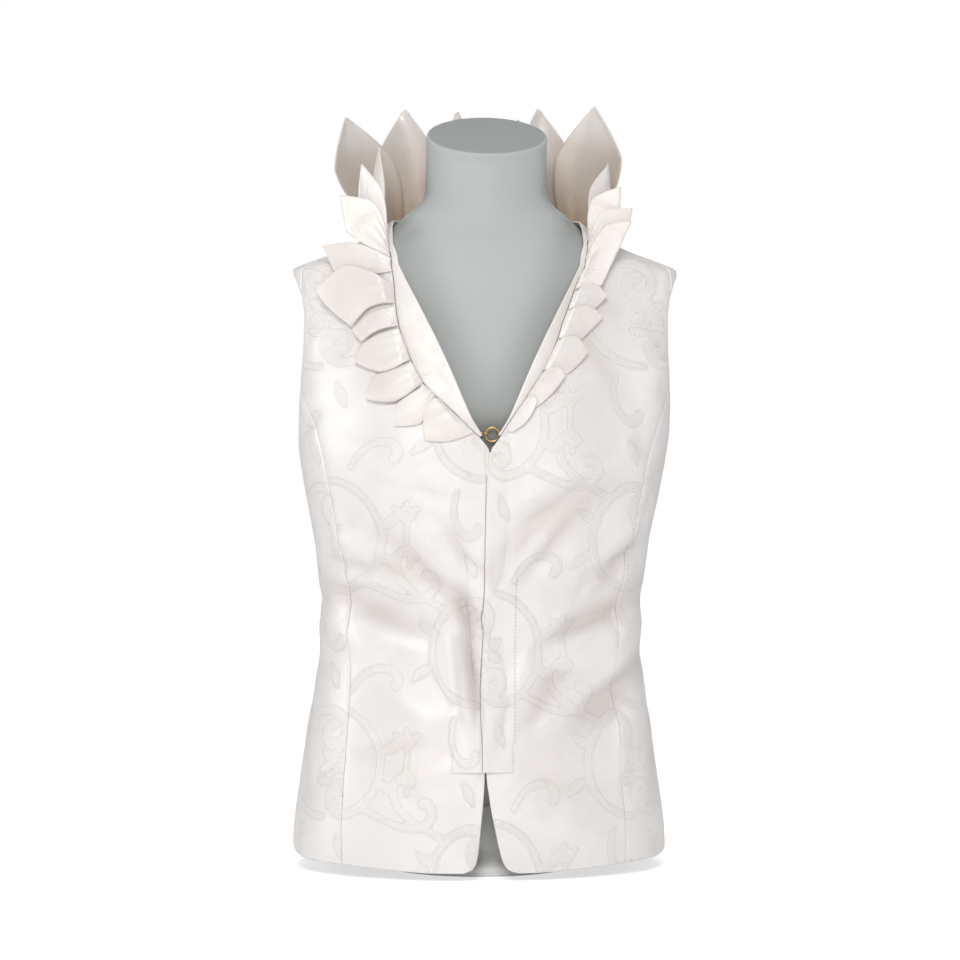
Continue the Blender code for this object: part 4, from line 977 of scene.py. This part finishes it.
# ---- petals
petals = {
    "thick": 1.6,
    "rest": 0.4,
    "along": 36,
    "across": 20,
    "full": 0.58,
    "rise": 0.15,
    "close": 1.3,
    # base from one height to another, top corner, foot corner, bellies of the low, high and end edges, lifts
    "chest": {
        "left": (
            (403.5, 434, 58.5, 421, 57, 395.5, 4, 3, 1, 0.4, 4.6),
            (436.5, 445.5, 81.5, 429.5, 83.5, 409, 12, 2, 1, 0.4, 0.4),
            (448, 466.5, 105.5, 452.5, 106.5, 432.5, 9, 3, 1, 4.8, 0.4),
            (469, 497.5, 116, 483, 119, 466, 10, 3, 1, 4.8, 0.4),
            (500, 518.5, 125, 498, 114, 485.5, -3, 5, 1, 4.8, 0.4),
            (521, 538.5, 153, 533.5, 124, 500, -7, 19, 2, 5.4, 8),
        ),
        "right": (
            (409, 434.5, 41, 431, 19.5, 403.5, 2, 4, 4, 0.4, 4.4),
            (437, 457, 66, 454, 42, 426.5, 3, 7, 2, 0.4, 4.6),
            (459.5, 486.5, 86.5, 475, 70.5, 457, 3, 9, 1, 0.4, 4.8),
            (489, 513, 101, 508, 82, 487.5, 3, 8, 1, 0.4, 4.8),
            (516, 530.5, 106, 528, 94, 515.5, 3, 9, 1, 0.4, 7),
        ),
    },
    # base from one angle to another, top corner, foot corner, way of the width, bellies, cup, lifts, seat
    "collar": {
        "left": (
            (47.8, 50.3, (152, -48, 576), (140.5, -60.5, 549), (0, 0.2, 1), 3, 8, 0, 0.5, 3.5, 0),
            (51, 56, (138, -43, 623), (132, -56, 589.5), (0, 0.3, 1), 2, 19, 1, 0.5, 3.5, 0),
            (56.8, 62, (118, -26, 655), (118.5, -27, 653), (0, 0.3, 1), 13, 10, 2, 0.5, 2.5, -0.3),
            (66, 79, (101, 6, 675.5), (101.5, 4, 674.5), (0.6, 1, 0), 6, 12, 3, 0, 0, -0.7),
            (84, 121, (132.5, 42, 708), (134, 41, 707), (-1, 0.35, 0), 26, 26, 8, 0, 0, 0.4),
            (124, 149, (77, 92, 720), (78.5, 91, 719.5), (-1, 0.35, 0), 29, 20, 8, 0, 7, 0.15),
            (151.5, 178.8, (24, 110, 721), (25.5, 110, 721), (-1, 0.1, 0), 11, 17, 6, 0, 6, 0.1),
        ),
        "right": (
            (41.4, 52, (132, -56, 599), (102.5, -81.5, 538.5), (0, 0.3, 1), 1, 11, 1, 0.3, 3.5, 0),
            (52.6, 57, (134, -42, 612.5), (131.5, -50, 601), (0, 0.3, 1), 2, 16, 1, 0.5, 3.5, -0.3),
            (57.5, 62, (124.5, -28, 634.5), (123.5, -36, 614), (0, 0.4, 1), 2, 17, 1, 0.5, 2.5, -0.3),
            (66, 79, (114, -4, 660), (115, -5, 659), (1, 0.6, 0), 14, 10, 3, 0, 0, -0.5),
            (84, 121, (105, 46, 720.5), (106.5, 45, 719.5), (-1, 0.35, 0), 27, 26, 8, 0, 0, 0.4),
            (124, 149, (56, 97, 722.5), (57.5, 96, 722), (-1, 0.35, 0), 24, 18, 8, 0, 7, 0.15),
            (151.5, 178.8, (36, 112, 716), (37.5, 112, 716), (-1, 0.1, 0), 9, 19, 6, 0, 0, 0),
        ),
    },
    "turn": 0.38,  # share of its lift that a raised low edge turns back down
    "turnWidth": 0.14,
    "gather": 0.8,  # depth of the small gathers at the base
    "gathers": 4.0,
    "gatherShift": 1.9,  # radians that the gathers move from one petal to the next
    "gatherSway": (0.8, 7.0),  # and sway by within one
    "gatherReach": 0.22,
    "gatherStart": 0.02,
    "leastGather": -0.1,  # as far as a gather of a chest petal may go down towards the coat
    "rimAlong": 0.006,  # more points close to the ends and the sides, for the turned rim
    "rimAcross": 0.012,
    "endBend": 4.0,  # makes the middle of across * (1 - across) one
    "figureShift": (61.0, 37.0),  # how far the figure moves from one petal to the next
    "figureTurn": 0.9,
    "standingFrom": 690.0,  # a petal with its top corner above this stands round the neck
    "paintedWarmShade": (0.15, 0.85, 0.85, 1.1),  # painted warm shade on the standing petals: least, added at the seam, share it reaches along, and its power
    "roundness": 0.9,
}


def belly(share):
    # a quarter sine up to the fullest place, then a power of the rest of the way
    rise = np.sin(np.clip(share / petals["full"], 0, 1) * math.pi / 2)
    fall = np.clip((share - petals["full"]) / (1 - petals["full"]), 0, 1)
    return rise * (1 - fall ** petals["close"])


def hump(across):
    # a parabola that is nothing at both sides and one in the middle
    return petals["endBend"] * across * (1 - across)


def petalShares():
    # even shares along and across, with one more close to each end
    ways = []
    for count, near in ((petals["along"], petals["rimAlong"]), (petals["across"], petals["rimAcross"])):
        ways.append(np.sort(np.concatenate([np.linspace(0, 1, count + 1), [near, 1 - near]])))
    return np.meshgrid(*ways, indexing="ij")


def petalLift(low, high, along, across):
    # straight from edge to edge, the low edge turned down by a square of the way to where the turn ends
    turned = petals["turn"] * max(low, 0) * np.clip(1 - across / petals["turnWidth"], 0, 1) ** 2
    return np.clip(along / petals["rise"], 0, 1) * ((1 - across) * low + across * high - turned)


def gathers(along, across, number):
    # short waves across the base that die away along the petal
    sway, quickness = petals["gatherSway"]
    phase = number * petals["gatherShift"] + sway * np.sin(quickness * across)
    wave = np.sin(2 * math.pi * petals["gathers"] * across + phase)
    fading = np.exp(-along / petals["gatherReach"]) * np.clip(along / petals["gatherStart"], 0, 1)
    return petals["gather"] * wave * fading


def finishPetal(node, side, number, middle, normal, paintedCollarShade=0.0):
    # the figure is turned from petal to petal; only the outer face takes the painted warm shade
    ways = edgeDistance(middle)
    edge = np.minimum.reduce(ways)
    turn = petals["figureTurn"] + number
    shiftU, shiftV = np.array(petals["figureShift"]) * number
    u = ways[0] * math.cos(turn) - ways[2] * math.sin(turn) + shiftU
    v = ways[0] * math.sin(turn) + ways[2] * math.cos(turn) + shiftV
    extra = {"paintedCollarShade": np.stack([0 * u, paintedCollarShade + 0 * u])}
    return clothWall(
        node, middle, normal, petals["thick"], petalSilk, side, u, v, edge, petals["roundness"], extra
    )


def betweenEdges(low, high, way, foot, top, lowBelly, highBelly, along):
    # two bellied edges from the base's ends to the outer corners, bellied along the way of the width
    share = along[..., None]
    lowLine = low + share * (foot - low) - way * (belly(along) * lowBelly)[..., None]
    highLine = high + share * (top - high) + way * (belly(along) * highBelly)[..., None]
    return lowLine, highLine


def blend(across, low, high):
    # (1 - across) * low + across * high
    return (1 - across[..., None]) * low + across[..., None] * high


def chestPetal(node, side, number, row, seam):
    # drawn flat as two bellied edges with a bowed end, then laid on the coat with a lift at each edge
    along, across = petalShares()
    low0, high0, topX, topZ, footX, footZ, lowBelly, highBelly, endBelly, lowLift, highLift = row
    seamX, seamZ = np.array(seam, float).T
    low, high = (np.array([np.interp(z, seamZ, seamX) + cut["seamGap"], z]) for z in (low0, high0))
    foot, top = np.array([footX, footZ], float), np.array([topX, topZ], float)
    axis = unit((foot + top) / 2 - (low + high) / 2)
    up = np.array([-axis[1], axis[0]])
    flat = blend(across, *betweenEdges(low, high, up, foot, top, lowBelly, highBelly, along))
    flat = flat + axis * (along**3 * hump(across) * endBelly)[..., None]
    height = flat[..., 1]
    angle = angleOf(flat[..., 0], height) * side
    surface, normal = coatSurface(angle, height), coatNormal(angle, height)
    lift = cut["cloth"] + petals["rest"] + petalLift(lowLift, highLift, along, across) + petals["thick"] / 2
    lift = lift + np.clip(gathers(along, across, number), petals["leastGather"], None)
    return finishPetal(node, side, number, surface + normal * lift[..., None], normal)


def seamBase(line, side, low, high, across, seat, tilt):
    # points of the seam, raised above the band by the seat and the tilted half of the petal
    angle = np.radians(low + (high - low) * across)
    height = np.interp(angle, line[:, 0], line[:, 1])
    raised = cut["cloth"] + petals["rest"] + seat + tilt * petals["thick"] / 2
    base = coatSurface(angle * side, height) + coatNormal(angle * side, height) * raised
    base[..., 0] *= side
    return base


def collarPetal(node, side, number, row, line):
    # two bellied edges from the seam to the outer corners, cupped by a sine along and a parabola across
    along, across = petalShares()
    low0, high0, top, foot, way, lowBelly, highBelly, cup, lowLift, highLift, seat = row
    ends = np.array([0.0, 1.0])
    low, high = seamBase(line, side, low0, high0, ends, seat, 1)
    top, foot, way = np.array(top, float), np.array(foot, float), np.array(way, float)
    axis = unit((foot + top) / 2 - (low + high) / 2)
    wayOut = unit(low + high - seamBase(line, side, low0, high0, ends, seat, 0).sum(axis=0))
    tilt = math.sqrt(1 - (axis @ wayOut) ** 2)
    low, high = seamBase(line, side, low0, high0, ends, seat, tilt)
    way = unit(way - (way @ axis) * axis)
    face = np.cross(axis, way)
    middle = blend(across, *betweenEdges(low, high, way, foot, top, lowBelly, highBelly, along))
    bowed = seamBase(line, side, low0, high0, across, seat, tilt) - blend(across, low, high)
    middle = middle + bowed * (1 - along[..., None]) ** 2
    hollow = cup * hump(across) * np.sin(math.pi * along)
    off = petalLift(lowLift, highLift, along, across) - hollow + gathers(along, across, number)
    middle = middle + face * off[..., None]
    normal = unit(np.cross(np.gradient(middle, axis=0), np.gradient(middle, axis=1)))
    middle[..., 0] *= side
    normal[..., 0] *= side
    # the standing petals take a painted warm shade on the side of the neck, deepest at the seam
    least, added, reach, power = petals["paintedWarmShade"]
    paintedWarmShade = least + added * np.clip(1 - along / reach, 0, 1) ** power
    return finishPetal(node, side, number, middle, normal, paintedWarmShade if top[2] > petals["standingFrom"] else 0.0)


for name, side in sides.items():
    rows = [(chestPetal, row, cut["petalSeam"][name]) for row in petals["chest"][name]]
    rows += [(collarPetal, row, petalSeamLine(name)) for row in petals["collar"][name]]
    for number, (sewPetal, row, seam) in enumerate(rows, 1):
        node = f"petal_{name}_{number:02d}"
        sewPetal(node, side, number, row, seam)


# ---- the dress form, its cap and its foot
dressForm = {
    "around": 168,
    # heights of the rings: close ones at the turned base, then runs of (from, to, step)
    "base": (62, 63, 64.5, 66),
    "runs": ((70, 545, 6.0), (546, 657, 2.5)),
    "shoulderFrom": 550.0,
    "shoulderTo": 582.0,
    "shoulderEase": (60, 10),  # the heights over which the shoulder meets the coat and leaves it again
    "shoulderGap": 2.4,
    "bustShare": 0.9,
    "armPlate": 163.0,
    "neckTop": 685.0,
    "neckRings": (0.25, 0.5, 0.75, 1.0),
    "capTilt": math.radians(23.7),
    "capRings": (0.9, 0.6, 0.3, 0.04),
    "underRings": (0.04, 0.4, 0.8),
    "rim": 0.965,
    "rimDrop": 2.0,
    "rimRings": 5,
    # the shade near the neckline: depth, width and the ring's radius there; and over its foot: depth, rise, height
    "shade": (0.36, 22.0, 92),
    "footShade": (0.8, 8, 16),
    "mostShade": 0.85,
    "shadeTop": (622, 14),  # height above which there is none, and the way down to all of it
    # (radius, height) of the foot
    "foot": (
        (93, 0), (94, 0.8), (94, 6), (93.4, 7.4), (92, 8.6), (88, 11), (80, 13.2), (72, 15.2), (66, 17.6),
        (62.6, 21), (60.8, 25), (60, 30), (60, 61),
    ),
    "footAround": 160,
    "footSharp": math.radians(35),  # edges of the foot that turn more than this stay sharp
}


def neckShade(points):
    # bells of the distance to either edge of the neckline and of the height over its foot
    line = neckEdgeLine()
    angle, height = np.arctan2(points[:, 0], -points[:, 1]), points[:, 2]
    edge = np.interp(height, line[:, 1], line[:, 0])
    depth, wide, radius = dressForm["shade"]
    away = np.maximum(np.stack([edge - angle, edge + angle]) * radius, 0)
    shade = (depth * np.exp(-((away / wide) ** 2))).sum(axis=0)
    depth, rise, tall = dressForm["footShade"]
    shade = shade + depth * np.exp(-(((height - cut["vBottom"] - rise) / tall) ** 2))
    top, over = dressForm["shadeTop"]
    return np.clip(shade, 0, dressForm["mostShade"]) * np.clip((top - height) / over, 0, 1)


def makeForm():
    # rings of the form up to the sloping cut of the neck, closed above and below
    d = dressForm
    angle = np.linspace(0, 2 * math.pi, d["around"], endpoint=False)
    angle = (angle + math.pi) % (2 * math.pi) - math.pi
    heights = np.concatenate([d["base"]] + [np.arange(*run) for run in d["runs"]])
    a, z = np.meshgrid(angle, heights)
    torso = ringPoint("form", a, z) + outward(a) * (d["bustShare"] * bustSwell(a, z))[..., None]
    worn = ringPoint("coat", a, z) + outward(a) * bustSwell(a, z)[..., None] - coatNormal(a, z) * d["shoulderGap"]
    up, down = d["shoulderEase"]
    near = np.clip((z - d["shoulderFrom"] + up) / up, 0, 1) * np.clip((d["shoulderTo"] + down - z) / down, 0, 1)
    near = (near * near * (3 - 2 * near))[..., None]
    torso = torso * (1 - near) + worn * near
    torso[..., 0] = np.clip(torso[..., 0], -d["armPlate"], d["armPlate"])
    top = ringPoint("form", angle, np.full(len(angle), d["neckTop"]))
    top[:, 2] += math.tan(d["capTilt"]) * top[:, 1]
    middle = top.mean(axis=0)
    edge, drop = top - middle, np.array([0, 0, d["rimDrop"]])
    neck = [torso[-1] + (top - drop - torso[-1]) * share for share in d["neckRings"]]
    rim = [
        middle + edge * (d["rim"] + (1 - d["rim"]) * math.cos(turn)) + drop * (math.sin(turn) - 1)
        for turn in np.linspace(0, math.pi / 2, d["rimRings"] + 1)[1:]
    ]
    cap = [middle + edge * share for share in d["capRings"]]
    under = [torso[0] * np.array([share, share, 1]) for share in d["underRings"]]
    rings = np.array([*under, *torso, *neck, *rim, *cap])
    points, faces = fannedRings(rings, rings[0].mean(axis=0), middle)
    shade = {"neckShade": neckShade(points)}
    piece = addPiece("dress_form_skin", points, faces, [formSkin, capPaintAndShade], "dress_form", shade)
    # the cap's paint is on the last rings and on the fan that closes them
    paint = np.zeros(len(faces), np.int32)
    paint[(len(rings) - len(cap) - 1) * d["around"] :] = 1
    paint[-2 * d["around"] : -d["around"]] = 0
    piece.data.polygons.foreach_set("material_index", paint)


def makeFoot():
    # the profile turned round the upright axis, closed by two fans
    r, z = np.array(dressForm["foot"], float).T[..., None]
    angle = np.linspace(0, 2 * math.pi, dressForm["footAround"], endpoint=False)
    rings = np.stack([r * np.sin(angle), -r * np.cos(angle), z + 0 * angle], -1)
    points, faces = fannedRings(rings, [0, 0, z[0, 0]], [0, 0, z[-1, 0]])
    piece = addPiece("form_foot_skin", points, faces, [footSkin], "form_foot")
    piece.data.set_sharp_from_angle(angle=dressForm["footSharp"])


makeForm()
makeFoot()
print("dress form and foot made")


# ---- gilt ring and hook
clasp = {
    "x": 2.0,
    "z": 402.0,
    "behind": 1.05,
    "radius": 6.2,
    "steps": 64,
    "wire": 0.85,
    "hookWire": 0.6,
    "hookSteps": 46,
    "hookEnds": 0.35,  # share of the wire's radius left at the hook's ends
    "around": 14,
    "square": (0.13, 1.0, 0.21),  # a direction that neither path ever takes
    # the hook's path from the ring's middle
    "hook": (
        (-17, 0.2, 1.5), (-11, 0.2, 1.5), (-8.6, -0.6, 1.5), (-6.6, -1.9, 1.2), (-4.6, -1.9, 0.6), (-3.4, -0.8, 0.2),
    ),
}


def wireRings(path, way, radius):
    # a circle carried along a path, its plane square to the path
    aside = unit(np.cross(way, np.array(clasp["square"])))[:, None]
    over = np.cross(way[:, None], aside)
    turn = np.linspace(0, 2 * math.pi, clasp["around"], endpoint=False)[:, None]
    return path[:, None] + np.reshape(radius, (-1, 1, 1)) * (np.cos(turn) * aside + np.sin(turn) * over)


def makeClasp():
    # a circle round the ring's middle, and a smooth curve through the hook's points
    middle = [clasp["x"], coatSurface(np.array(0.0), np.array(clasp["z"]))[1] + clasp["behind"], clasp["z"]]
    turn = np.linspace(0, 2 * math.pi, clasp["steps"], endpoint=False)
    path = np.stack([np.cos(turn), 0 * turn, np.sin(turn)], -1) * clasp["radius"] + middle
    way = unit(np.roll(path, -1, axis=0) - np.roll(path, 1, axis=0))
    points = wireRings(path, way, clasp["wire"]).reshape(-1, 3)
    faces = gridQuads(clasp["steps"] + 1, clasp["around"], closed=True) % len(points)
    addPiece("clasp_ring_wire", points, faces.tolist(), [gilt], "clasp_ring")

    knots = np.array(clasp["hook"])
    at = np.linspace(0, len(knots) - 1, clasp["hookSteps"])
    path = np.stack([smoothCurve(at, np.arange(len(knots)), knots[:, k]) for k in range(3)], -1) + middle
    radius = np.full(len(path), clasp["hookWire"])
    radius[[0, -1]] *= clasp["hookEnds"]
    points, faces = fannedRings(wireRings(path, unit(np.gradient(path, axis=0)), radius), path[0], path[-1])
    addPiece("clasp_hook_wire", points, faces, [gilt], "clasp_hook")


makeClasp()
print("clasp made")


# ---- floor, lights and camera
studio = {
    "worldPower": 0.22,
    "seen": 1.0,  # brightness of the backdrop that the camera sees
    # place, aim, size, power, colour
    "lights": {
        "key": ((-0.3, -2.2, 1.75), (0, 0, 0.36), (0.9, 0.9), 28.0, (1.0, 0.98, 0.96)),
        "low": ((0.1, -1.7, 0.06), (0, 0, 0.30), (1.6, 0.10), 3.2, (0.93, 0.97, 1.0)),
        "side": ((2.3, -0.2, 0.9), (0, 0, 0.36), (0.8, 1.4), 7.5, (0.97, 0.985, 1.0)),
        "other": ((-2.3, -0.3, 0.9), (0, 0, 0.36), (0.8, 1.4), 12.0, (0.97, 0.985, 1.0)),
    },
    "floorReach": 60.0,
    "floorTones": (0.925, 0.935),
    "floorSun": 1.0,
    "sunAngle": 50.0,
    "floorSeen": 0.6,  # added to the floor for the camera alone
    "cameraTarget": (0.001, 0.0, 0.361),
    "cameraAzimuth": -3.0,
    "cameraDistance": 2.6,
    "cameraAngle": 19.76,
}


def aimed(name, data, place, target):
    # turned so that its own -Z looks from the place to the target
    made = addThing(name, data)
    made.location = place
    made.rotation_euler = (Vector(target) - Vector(place)).to_track_quat("-Z", "Y").to_euler()
    return made


def makeFloor():
    made, tree, shader = newFinish("paleFloor")
    place = addNode(tree, "ShaderNodeTexCoord").outputs["Object"]
    direct = addNode(tree, "ShaderNodeLightPath").outputs["Is Camera Ray"]
    fillInputs(tree, shader, {
        "Base Color": greyCloud(tree, place, 3.0, *studio["floorTones"]),
        "Roughness": 0.9,
        "Emission Color": (1, 1, 1, 1),
        "Emission Strength": product(tree, direct, studio["floorSeen"]),
    })
    mesh = bpy.data.meshes.new("floor")
    reach = studio["floorReach"]
    corners = [(-reach, -reach, 0), (reach, -reach, 0), (reach, reach, 0), (-reach, reach, 0)]
    mesh.from_pydata(corners, [], [(0, 1, 2, 3)])
    mesh.materials.append(made)
    addThing("floor", mesh)


def makeWorld():
    # white, brighter for the camera than for the light it gives
    world = bpy.data.worlds.new("studio")
    world.use_nodes = True
    tree = world.node_tree
    seen = addNode(tree, "ShaderNodeLightPath").outputs["Is Camera Ray"]
    power = ramp(tree, seen, 0.0, 1.0, studio["worldPower"], studio["seen"], "LINEAR")
    fillInputs(tree, tree.nodes["Background"], {0: (1, 1, 1, 1), 1: power})
    scene.world = world


def makeLights():
    for name, (place, target, size, power, colour) in studio["lights"].items():
        light = bpy.data.lights.new(name, "AREA")
        light.shape = "RECTANGLE"
        light.size, light.size_y = size
        light.energy = power
        light.color = colour
        aimed(name, light, place, target).visible_camera = False
    sun = addThing("overhead", bpy.data.lights.new("overhead", "SUN"))
    sun.data.energy = studio["floorSun"]
    sun.data.angle = math.radians(studio["sunAngle"])


def makeCamera():
    # target + distance * (sine, -cosine, 0) of the azimuth
    turn = math.radians(studio["cameraAzimuth"])
    x, y, z = studio["cameraTarget"]
    far = studio["cameraDistance"]
    place = (x + far * math.sin(turn), y - far * math.cos(turn), z)
    scene.camera = aimed("camera", bpy.data.cameras.new("camera"), place, (x, y, z))
    scene.camera.data.angle = math.radians(studio["cameraAngle"])
    scene.camera.data.clip_end = 50


makeFloor()
makeWorld()
makeLights()
makeCamera()
scene.view_settings.view_transform = "Standard"
print("studio set")
